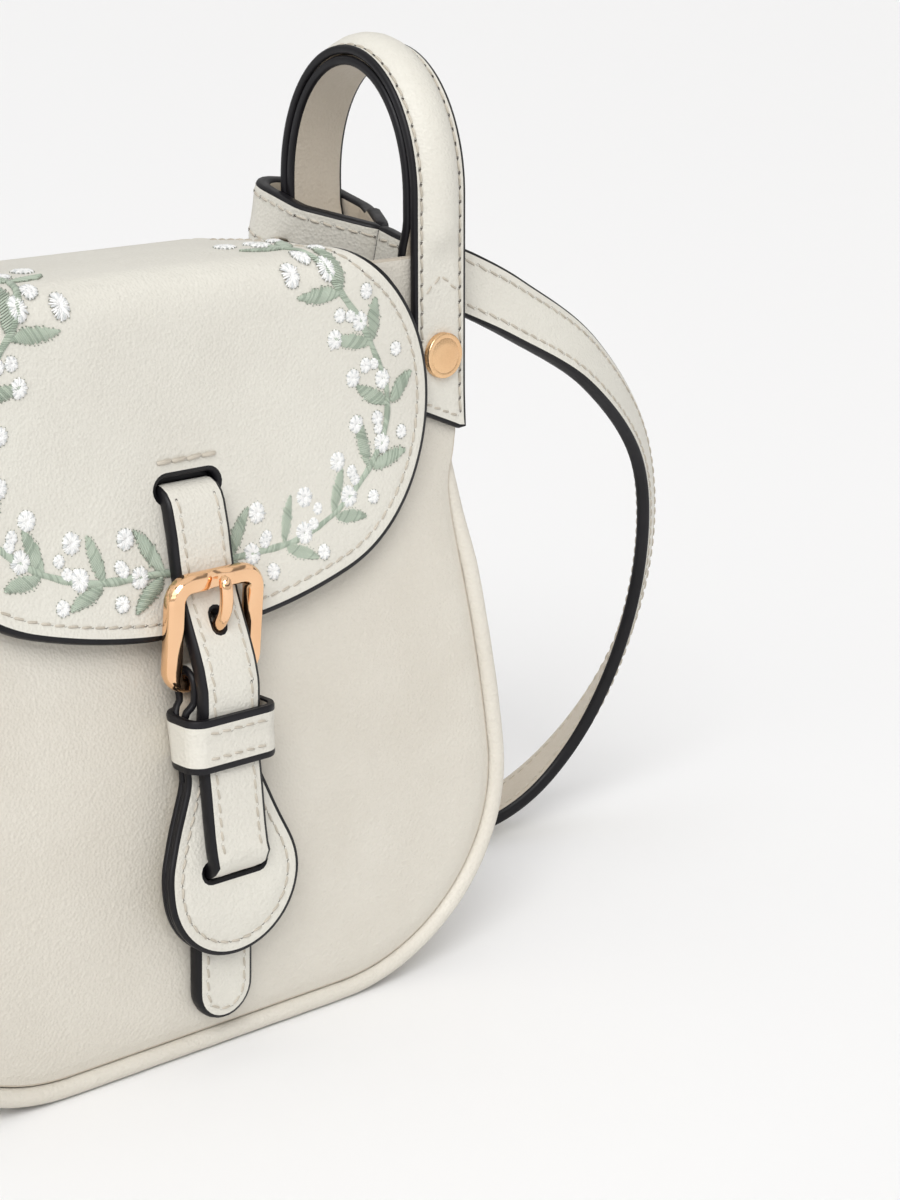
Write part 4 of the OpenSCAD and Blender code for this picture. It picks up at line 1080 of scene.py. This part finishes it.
rivets()
snap_piece("snap_socket", "bag", True,
           [(AXIS_R, -0.3), (2.2, -0.3), (2.4, -0.95), (4.6, -1.03), (5.2, -0.95), (5.5, -0.7),
            (5.5, -0.2), (2.0, -0.2), (2.0, 1.8), (6.0, 1.8), (6.0, 2.5), (AXIS_R, 2.5)])
snap_piece("snap_stud", "belt", False,
           [(AXIS_R, -1.3), (2.0, -1.27), (2.2, -1.36), (4.7, -1.28), (5.2, -1.36),
            (5.5, -1.55), (5.5, -2.1), (2.0, -2.1), (2.0, -2.8), (AXIS_R, -2.8)])

# ---------------------------------------------------------------- tab
FOLD_R, FOLD_HALF, TAB_HALF = 1.96, 6.1, 0.8
TAB_R, TAB_LOW, NECK, TAB_SEAM = 14.75, 23.0, 8.0, 2.3
LINE_Z = [0, 38, 48, 66, 71, BAR_Z - FOLD_R, BAR_Z]
BACK_OFF = [3.8, 3.8, 2.3, 2.3, 2.3, BAR_OFF - FOLD_R - 1.6, BAR_OFF - FOLD_R - 1.6]
FRONT_OFF = [5.6, 5.6, 4.1, 4.1, 5.2, BAR_OFF + FOLD_R, BAR_OFF + FOLD_R]
BAR_Y = front_y(BAR_Z, BAR_OFF)

# The tab's rail runs up the back leather, round the hinge bar and down the front leather
tab_z = np.arange(TAB_LOW - 1, BAR_Z - 0.4, 0.7)
tab_back, tab_front = ([(front_y(h, o + TAB_HALF), h)
                        for h, o in zip(tab_z, soften(tab_z, LINE_Z, off, 2.2))]
                       for off in (BACK_OFF, FRONT_OFF))
tab_bar = arc(BAR_Y, BAR_Z, FOLD_R + TAB_HALF, 0, 180, 24)
TAB = profile_rail(tab_back + tab_bar + tab_front[::-1], sign=-1)
tab_n0, tab_n1 = len(tab_back), len(tab_back) + len(tab_bar)


def tab_s(z, front):
    part = slice(None, tab_n1 - 1, -1) if front else slice(tab_n0)
    return float(np.interp(z, TAB.p[part, 2], TAB.s[part]))


def tab_pieces():
    # Right side of the keyhole from its lowest point up to the fold, as (x, z)
    half = arc(0, TAB_LOW + TAB_R, TAB_R, -90, tangent(NECK, 57.4 - TAB_LOW - TAB_R, TAB_R), 30)
    half += [(NECK + 0.5, 56.0), (NECK, 57.8), (NECK, 70.0), (NECK - 0.4, 71.4),
             (FOLD_HALF, 72.6), (FOLD_HALF, 74.8)]
    right = [(x, tab_s(z, False)) for x, z in half]
    right += [(x, tab_s(z, True)) for x, z in reversed(half)]
    loop = right + [(-x, s) for x, s in reversed(right)][1:-1]
    slots = [[(x, tab_s(z, front)) for x, z in slot_loop(5.6, 40, 1.8)]
             for front in (False, True)]
    crest = (TAB.s[tab_n0] + TAB.s[tab_n1]) / 2
    reach = (TAB.s[tab_n1] - TAB.s[tab_n0]) / 2 + 2.2
    slots.append(rect(-1.6, 1.6, crest - reach, crest + reach, 0.7))

    def lift(p, deep):
        groove = -0.22 * np.exp(-((deep - TAB_SEAM) / 0.45) ** 2)
        return np.where(p[:, 1] > crest, groove + 0.1 * smooth((deep - 2.8) / 4), 0.0)

    mesh = sheet_mesh(TAB, loop, 0.85, -TAB_HALF, holes=slots, grid=2.2, step=1.2, bead=0.45,
                      rims=(0.45, 1.0, 1.7, 2.3, 3.0), lift=lift, drop=0.1)
    # Edge paint joins the two leathers round the tab
    rounding = ((0.0, -0.3), (0.25, 0.3), (0.5, 0.36), (0.75, 0.3), (1.0, -0.3))
    for side in (1, -1):
        verts = []
        for x, z in half[:-4]:
            a, b = (TAB.at(side * x, tab_s(z, front), 0.0) for front in (False, True))
            verts += [a + (b - a) * share + (side * out_by, 0, 0) for share, out_by in rounding]
        faces = bands(block(len(half) - 4, len(rounding)).T, False)
        mesh.add(verts, faces if side > 0 else flipped(faces), 1)
    mesh.make("tab_leather", CUT, "belt", replaces=["tab_front", "tab_back"], sharp=60)
    row = inset(resample(mirrored(half[:-3]), 0.8), TAB_SEAM)
    row = opened(row[row[:, 1] < 70])
    seams("tab_stitches", "belt", [(TAB, [(x, tab_s(z, True)) for x, z in row], 0.66, 2.75)])


tab_pieces()

# ---------------------------------------------------------------- belt
OVER_TAB, BELT_HALF, BELT_W = 1.9, 1.5, 6.1


def belt_rail():
    """The middle of the belt: from its tip behind the tab, out through the tab's slot, up
    over the hinge bar and into the flap's slit."""
    z_table = [34, 48, 66, BAR_Z - FOLD_R, BAR_Z, BAR_Z + 4, 91.5, 105, 110]
    bar = BAR_OFF + FOLD_R
    off = [5.6, 4.1, 4.1, bar, bar, bar - 0.2, 4.0, 4.0, 4.0]
    z = np.arange(43.5, 106.6, 1.0)
    run = [(front_y(h, o + OVER_TAB + BELT_HALF), h)
           for h, o in zip(z, soften(z, z_table, off, 2))]
    low = [(front_y(10, 1.9), 8.0), (front_y(30, 1.9), 30.0), (front_y(40, 2.0), 36.0),
           (front_y(40, 3.2), 39.2), (front_y(40, 6.6), 40.6), (front_y(40, 8.6), 42.2)]
    top = [(front_y(SLIT_Z, o), h) for o, h in ((6.9, 108.6), (6.1, 110.1), (4.7, 110.8),
                                                (3.2, 111.0))]
    return profile_rail(rounded_path(low + run[::4] + top, 2.0, 0.6))


BELT = belt_rail()


def belt_s(z):
    return float(np.interp(z, BELT.p[:, 2], BELT.s))


def belt_piece():
    w, end, seam_x, face = BELT_W, BELT.length, 4.3, BELT_HALF + 0.08
    loop = arc(0, w + 0.1, w, 180, 360, 20) + [(w, end - 0.4), (w - 0.4, end), (-w + 0.4, end),
                                               (-w, end - 0.4)]
    hole = arc(0, belt_s(88.2), 1.45, 0, 180, 8) + arc(0, belt_s(86.0), 1.45, 180, 360, 8)
    mesh = sheet_mesh(BELT, loop, BELT_HALF + 0.15, -BELT_HALF - 0.15, holes=[hole], grid=2.2,
                      step=1.3, bead=0.45, rims=(0.4, 1.0, 1.6, 2.1, 2.7), drop=0.12)
    ob = mesh.make("belt_leather", CUT, body=None, replaces=["belt_strap", "belt_root"], sharp=60)
    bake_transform(ob)
    rows = [[(x, belt_s(43.5)), (x, belt_s(109.5))] for x in (-seam_x, seam_x)]
    rows.append([(-seam_x, belt_s(36)), (-seam_x, 6.2), *arc(0, 6.2, seam_x, 180, 360, 12),
                 (seam_x, belt_s(36))])
    seams("belt_stitches", "belt", [(BELT, row, face, 2.75) for row in rows])


belt_piece()


# ---------------------------------------------------------------- keeper
def keeper_piece():
    z0, z1, t, half_w = 61.0, 70.5, 1.4, 10.2
    z = np.array([z0, z0 + 0.9, *np.linspace(z0 + 1.8, z1 - 1.8, 7), z1 - 0.9, z1])

    def reach(h, more):
        """How far off the body the keeper's front stands."""
        off = [4.1, 4.1, BAR_OFF + FOLD_R]
        return float(np.interp(h, [0, 66, BAR_Z - FOLD_R], off)) + OVER_TAB + more

    mesh = Mesh()
    for depth, mat in ((0.0, 0), (t, 1)):
        verts = []
        for h in z:
            lo, hi = 0.6 + depth, reach(h, 3.3) + t - depth
            middle, half = (lo + hi) / 2, (hi - lo) / 2
            ring = rect(-half_w + depth, half_w - depth, -half, half, 3.4 - depth, 4.2 - depth, 8)
            bulge = 0 if depth else 0.35 * (1 - ((h - (z0 + z1) / 2) / (z1 - z0) * 2) ** 2)
            verts += [(x, front_y(h, middle + o + bulge * (o > 0)), h) for x, o in ring]
        n, last = len(ring), len(z) - 2
        faces = bands(block(len(z), n))
        mats = [2 if not depth and i in (0, last) else mat for i in range(last + 1)]
        mesh.add(verts, faces if depth else flipped(faces), [m for m in mats for _ in range(n)])
    outer, inner = block(len(z), n), block(len(z), n, n * len(z))
    for i, up in ((0, -1), (-1, 1)):
        a, b = (np.array([mesh.v[k] for k in layer[i]]) for layer in (outer, inner))
        rows = [outer[i]]
        for share in (0.12, 0.88):
            rows.append(np.arange(n) + len(mesh.v))
            mesh.v.extend(a + (b - a) * share + (0, 0, up * 0.4))
        faces = bands(rows + [inner[i]])
        mesh.add([], faces if up < 0 else flipped(faces), 2, at=0)
    mesh.make("keeper_leather", [CREAM, CREAM_INNER, BLACK], "keeper", replaces=["keeper_loop"],
              sharp=60)
    rows = []
    for h in (z0 + 2.3, z1 - 2.3):
        points = [(x, front_y(h, reach(h, 4.7) + 0.2), h) for x in np.linspace(-10, 10, 5)]
        rail = Rail(points, [(0, 0, 1)] * 5, [(0, -1, 0.1)] * 5)
        rows.append((rail, [(0, 3.2), (0, 16.8)], 0.0, 2.6))
    seams("keeper_stitches", "keeper", rows)


keeper_piece()

# ---------------------------------------------------------------- buckle and prong
HINGE = np.array([0.0, BAR_Y, BAR_Z])
TILT = math.radians(6.266)
# The round bar is this thick, so that it turns in the tab's fold
BAR_R, BUCKLE_HALF = 1.66, 9.1
# Left half of the frame's section, from below to above: (across, out)
SECTION = [(-1.0, -1.58), (-1.6, -1.25), (-1.9, -0.4), (-1.9, 0.45), (-1.72, 0.95), (-1.25, 1.45),
           (-0.75, 1.6)]


def on_frame(x, out, up):
    """A point of the buckle: x across, out of its plane, and up from its hinge bar."""
    return tilted(HINGE, TILT, x, -out, up)


def buckle_piece():
    path = resample(rect(-BUCKLE_HALF, BUCKLE_HALF, 0, BAR_PITCH, 3.3, n=14), 0.7)
    section = SECTION[2:] + [(-a, o) for a, o in reversed(SECTION)] + SECTION[:2]
    verts = []
    for p, n in zip(path, -loop_normals(path)):
        notch = math.exp(-(p[0] / 1.9) ** 4) * (p[1] > BAR_PITCH - 1)
        round_bar = smooth((2.5 - p[1]) / 2.5)
        for a, o in section:
            if o > 0:
                o -= 0.6 * notch
            grow = 1 + (BAR_R / math.hypot(a, o) - 1) * round_bar
            verts.append(on_frame(p[0] + n[0] * a * grow, o * grow, p[1] + n[1] * a * grow))
    rows = block(len(path), len(section)).tolist()
    mesh = Mesh()
    mesh.add(verts, bands(rows + rows[:1]))
    mesh.make("buckle_frame_metal", [GOLD], "buckle", "rose_gold", ["buckle_frame"], sharp=24)


def prong_piece():
    mesh = Mesh()
    eye = [(1.96, -1.05), (2.9, -1.05), (3.05, -0.7), (3.08, 0.0), (3.05, 0.7), (2.9, 1.05),
           (1.96, 1.05), (1.96, -1.05)]
    mesh.add(*lathe(eye, HINGE, axis="x", sides=36))
    # Under the belt, up through its hole and over the top bar
    up = [2.5, 5, 8, 9.5, 11, 12.5, 14, 16, 18, 19.6, 20.4, 21.0]
    out = [1.2, 0.6, 0.3, 0.7, 1.6, 2.6, 3.4, 3.7, 3.55, 3.2, 2.7, 2.2]
    fine = np.linspace(up[0], up[-1], 40)
    radius = np.interp(fine, [2.5, 9, 19, 20.2, 20.7, 21.0], [1.1, 1.25, 1.25, 1.1, 0.8, 0.3])
    path = [on_frame(0, o, u) for o, u in zip(soften(fine, up, out, 0.8, 5), fine)]
    mesh.add(*tube(path, radius, 16, (1, 0, 0)))
    mesh.make("prong_metal", [GOLD], "prong", "rose_gold", ["buckle_prong"], sharp=40)


buckle_piece()
prong_piece()


# ---------------------------------------------------------------- strap ends
BAND_W, BAND_HALF = 6.1, 1.5


def ring_points(ring, extra):
    """A belt drawn round circles of (x, y, radius)."""
    def angle(a, b):
        return tangent(b[0] - a[0], b[1] - a[1], a[2] - b[2])

    out = []
    for before, here, after in zip(ring[-1:] + ring, ring, ring[1:] + ring[:1]):
        a0 = angle(before, here)
        out += arc(here[0], here[1], here[2] + extra, a0, a0 + (angle(here, after) - a0) % 360, 8)
    return out


def strap_end(side, word):
    tilt = math.radians(STRAP_TILT)
    c, s = math.cos(tilt), math.sin(tilt)
    back_y, reach = 21.2, 33.2
    ring = [(0.8, 1.0, 0.3), (4.2, 14, 3), (4.2, 24.6, 3), (-4.2, 24.6, 3), (-4.2, 14, 3)]
    ty = back_y - reach / c
    tongue = [(8.0, ty), *arc(6.8, ty + 6, 6, 190, 270, 8)[::-1], (0.8, ty + 6), (0.8, -2.0)]

    def world(x, y):
        # The loop's far side hangs a little lower
        z = STRAP_Z + reach * math.tan(tilt) + (y - back_y) * s - 0.11 * max(x + 4.2, 0) * (y > 8)
        return np.array([x, back_y + (y - back_y) * c, z])

    mesh, rows = Mesh(), []
    # Outward is away from the loop's inside, and to the front on the tongue
    for sign, pts in ((1, resample(ring_points(ring, 1.5), 1.0)),
                      (-1, rounded_path(tongue, 1.0, 1.0))):
        if sign > 0:
            pts = np.roll(pts, -int(np.argmin(pts[:, 1])), axis=0)
            pts = np.vstack([pts, pts[:1]])
        t = np.gradient(pts, axis=0)
        if sign > 0:
            t[0] = t[-1] = pts[1] - pts[-2]
        t = unit(t) * sign
        rail = Rail([world(x, y) for x, y in pts], np.tile([0.0, -s, c], (len(pts), 1)),
                    [(a, -b * c, -b * s) for b, a in t])
        length = rail.length
        ss = np.linspace(0.0, length, int(length / 1.2))
        _, y_at, z_at = read(rail.p, rail.s, ss).T
        # The band is cut away over the back panel
        near = smooth(np.clip(np.minimum(y_at - 12.0, 21.5 - y_at) / 1.8, 0, 1))
        low = -BAND_W + np.maximum((147.8 - z_at) / c + BAND_W, 0) * near
        loop = [(BAND_W - 0.3, 0.0), (BAND_W, 0.3), (BAND_W, length - 0.3),
                (BAND_W - 0.3, length), *zip(low[::-1], ss[::-1])]
        sheet_mesh(rail, loop, BAND_HALF, -BAND_HALF, grid=2.4, step=1.4, bead=0.35,
                   rims=(0.35, 1.0, 1.7, 2.4), drop=0.1, into=mesh)
        rows.append((rail, [(4.2, 1.0), (4.2, length - 1.0)], 1.46, 2.8))
        run = [v for l, v in zip(low, ss) if l < -6.0 and 1.0 < v < length - 1.0]
        cuts = [0, *(i for i in range(1, len(run)) if run[i] - run[i - 1] > 2), len(run)]
        rows += [(rail, [(-4.2, run[a]), (-4.2, run[b - 1])], 1.46, 2.8)
                 for a, b in zip(cuts, cuts[1:]) if run[b - 1] - run[a] > 4]
    # The relief over the back panel is cut, not painted
    for i, f in enumerate(mesh.f):
        x, y, z = np.mean([mesh.v[k] for k in f], 0)
        if mesh.m[i] == 1 and z < 149.2 and 10.5 < y < 23.5:
            mesh.m[i] = 0
    name = word + "_strap_end"
    to_side(mesh.make(name + "_leather", CUT, replaces=[name], sharp=60), side)
    to_side(seams(name + "_stitches", "bag", rows), side)


strap_end(1, "right")
strap_end(-1, "left")

# ---------------------------------------------------------------- shoulder strap
# From the right end to the middle: a point, and the band's sideways direction there
STRAP_ROWS = np.array([
    ((74.6, -12, 142.5), (0, 0, 1)), ((78.6, -12.5, 140.3), (0.05, 0.05, 1)),
    ((92, -15, 133), (0.25, 0.22, 0.9)), ((115, -14, 119), (0.5, 0.45, 0.65)),
    ((137, -8, 97), (0.7, 0.6, 0.3)), ((148, 0, 70), (0.79, 0.61, 0.05)),
    ((149, 9, 42), (0.76, 0.65, 0)), ((139, 17, 19), (0.55, 0.83, 0)),
    ((121, 23, 5.5), (0.3, 0.95, 0)), ((97, 31, 1.9), (0.26, 0.96, 0)),
    ((66, 39, 1.5), (0.15, 0.98, 0)), ((32, 43, 1.5), (0.05, 1, 0)), ((0, 44, 1.5), (0, 1, 0)),
], float)
STRAP_SPLITS = 12


def strap_rail():
    flip = np.array([-1.0, 1, 1])
    before = STRAP_ROWS[:1] - [[[5.0, 0, 0], [0, 0, 0]]]
    full = np.concatenate([before, STRAP_ROWS, STRAP_ROWS[-2:-1] * flip])

    def spline(i, t):
        a, b, c, d = full[i:i + 4]
        return 0.5 * (2 * b + (c - a) * t + (2 * a - 5 * b + 4 * c - d) * t * t
                      + (3 * b - a - 3 * c + d) * t ** 3)

    half = np.array([spline(i, k / STRAP_SPLITS) for i in range(len(STRAP_ROWS) - 1)
                     for k in range(STRAP_SPLITS)] + [STRAP_ROWS[-1]])
    p, w = np.concatenate([half, half[-2::-1] * flip]).transpose(1, 0, 2)
    t = np.gradient(p, axis=0)
    t[0] = t[-1] = (1, 0, 0)
    t = unit(t)
    # Its ends stay square to the bag's side
    run = lengths(p)
    turn = smooth(np.minimum(run, run[-1] - run) / 10)[:, None]
    side = unit(w - turn * np.sum(w * t, 1, keepdims=True) * t)
    return Rail(p, side, -np.cross(side, t))


def strap_piece():
    rail = strap_rail()
    end, back = rail.length, Rail(rail.p, rail.side, -rail.n)
    mesh = sheet_mesh(rail, rect(-BAND_W, BAND_W, 0, end, 0.4), BAND_HALF, -BAND_HALF, grid=2.6,
                      step=1.7, bead=0.3, rims=(0.35, 1.0, 1.6, 2.3), drop=0.12)
    mesh.make("shoulder_strap_leather", CUT, "strap", replaces=["strap_face", "strap_backing"],
              sharp=60)
    seams("shoulder_strap_stitches", "strap", [(face, [(x, 1.5), (x, end - 1.5)], 1.46, 2.85)
                                               for face in (rail, back) for x in (-4.1, 4.1)])


strap_piece()

# ---------------------------------------------------------------- carried-over nodes
for board in ("front_stiffener", "back_stiffener", "base_board"):
    slots = frame["nodes"][board].data.materials
    slots.clear()
    slots.append(BOARD)


# ---------------------------------------------------------------- stage, light, camera
# Light by height, as (place, grey); the dark strips give the metal its lines
SKY = ((0.0, 0.66), (0.24, 0.8), (0.26, 0.16), (0.36, 0.16), (0.38, 1.0), (0.7, 1.0),
       (0.72, 0.3), (0.8, 0.3), (0.82, 1.0))
SKY_STRENGTH, SEEN_GREY = 0.88, 0.93
# The camera's focal length and the photo's height, both in the photo's pixels
FOCAL, PHOTO_H, SENSOR = 2682, 1200, 36
CAMERA, VIEW = (-0.2868, -0.4159, 0.2254), (0.6442, 0.7154, -0.2706)


def stage():
    bpy.ops.mesh.primitive_plane_add(size=16, location=(0, 0, -0.0002))
    floor = bpy.context.object
    floor.name = "floor"
    m = Nodes("floor_white")
    floor.data.materials.append(m.set(Roughness=0.9, Specular_IOR_Level=0.1,
                                      Base_Color=(0.885, 0.886, 0.89, 1)))

    world = bpy.data.worlds.new("studio")
    bpy.context.scene.world = world
    world.use_nodes = True
    tree = world.node_tree
    tree.nodes.clear()
    out, light, seen, both, path, coord, split, ramp = (
        tree.nodes.new("ShaderNode" + kind)
        for kind in ("OutputWorld", "Background", "Background", "MixShader", "LightPath",
                     "TexCoord", "SeparateXYZ", "ValToRGB"))
    ends = ramp.color_ramp.elements
    for k, (at, grey) in enumerate(SKY):
        stop = ends[k] if k < 2 else ends.new(at)
        stop.position, stop.color = at, (grey, grey * 0.99, grey * 0.98, 1)
    light.inputs["Strength"].default_value = SKY_STRENGTH
    seen.inputs["Color"].default_value = (SEEN_GREY, SEEN_GREY, SEEN_GREY, 1)
    seen.inputs["Strength"].default_value = 1.0
    for a, b in ((coord.outputs["Generated"], split.inputs[0]),
                 (split.outputs["Z"], ramp.inputs["Fac"]),
                 (ramp.outputs["Color"], light.inputs["Color"]),
                 (path.outputs["Is Camera Ray"], both.inputs[0]),
                 (light.outputs[0], both.inputs[1]), (seen.outputs[0], both.inputs[2]),
                 (both.outputs[0], out.inputs[0])):
        tree.links.new(a, b)


def add_to_scene(name, data, location, view):
    ob = bpy.data.objects.new(name, data)
    bpy.context.scene.collection.objects.link(ob)
    ob.location = location
    ob.rotation_euler = Vector(view).to_track_quat("-Z", "Y").to_euler()
    return ob


def lamp(name, kind, energy, location, target=(0, 0, 0.08), **sets):
    data = bpy.data.lights.new(name, kind)
    data.energy = energy
    for k, v in sets.items():
        setattr(data, k, v)
    add_to_scene(name, data, location, Vector(target) - Vector(location))


stage()
lamp("key", "SUN", 1.5, (-1.0, -1.1, 1.4), angle=math.radians(32))
lamp("fill", "AREA", 3.2, (-1.2, -0.5, 0.7), shape="RECTANGLE", size=0.9, size_y=0.9)
lens = bpy.data.cameras.new("camera")
lens.lens, lens.sensor_width = FOCAL / PHOTO_H * SENSOR, SENSOR
lens.clip_start, lens.clip_end = 0.02, 50
bpy.context.scene.camera = add_to_scene("camera", lens, CAMERA, VIEW)
bpy.context.scene.view_settings.view_transform = "Standard"
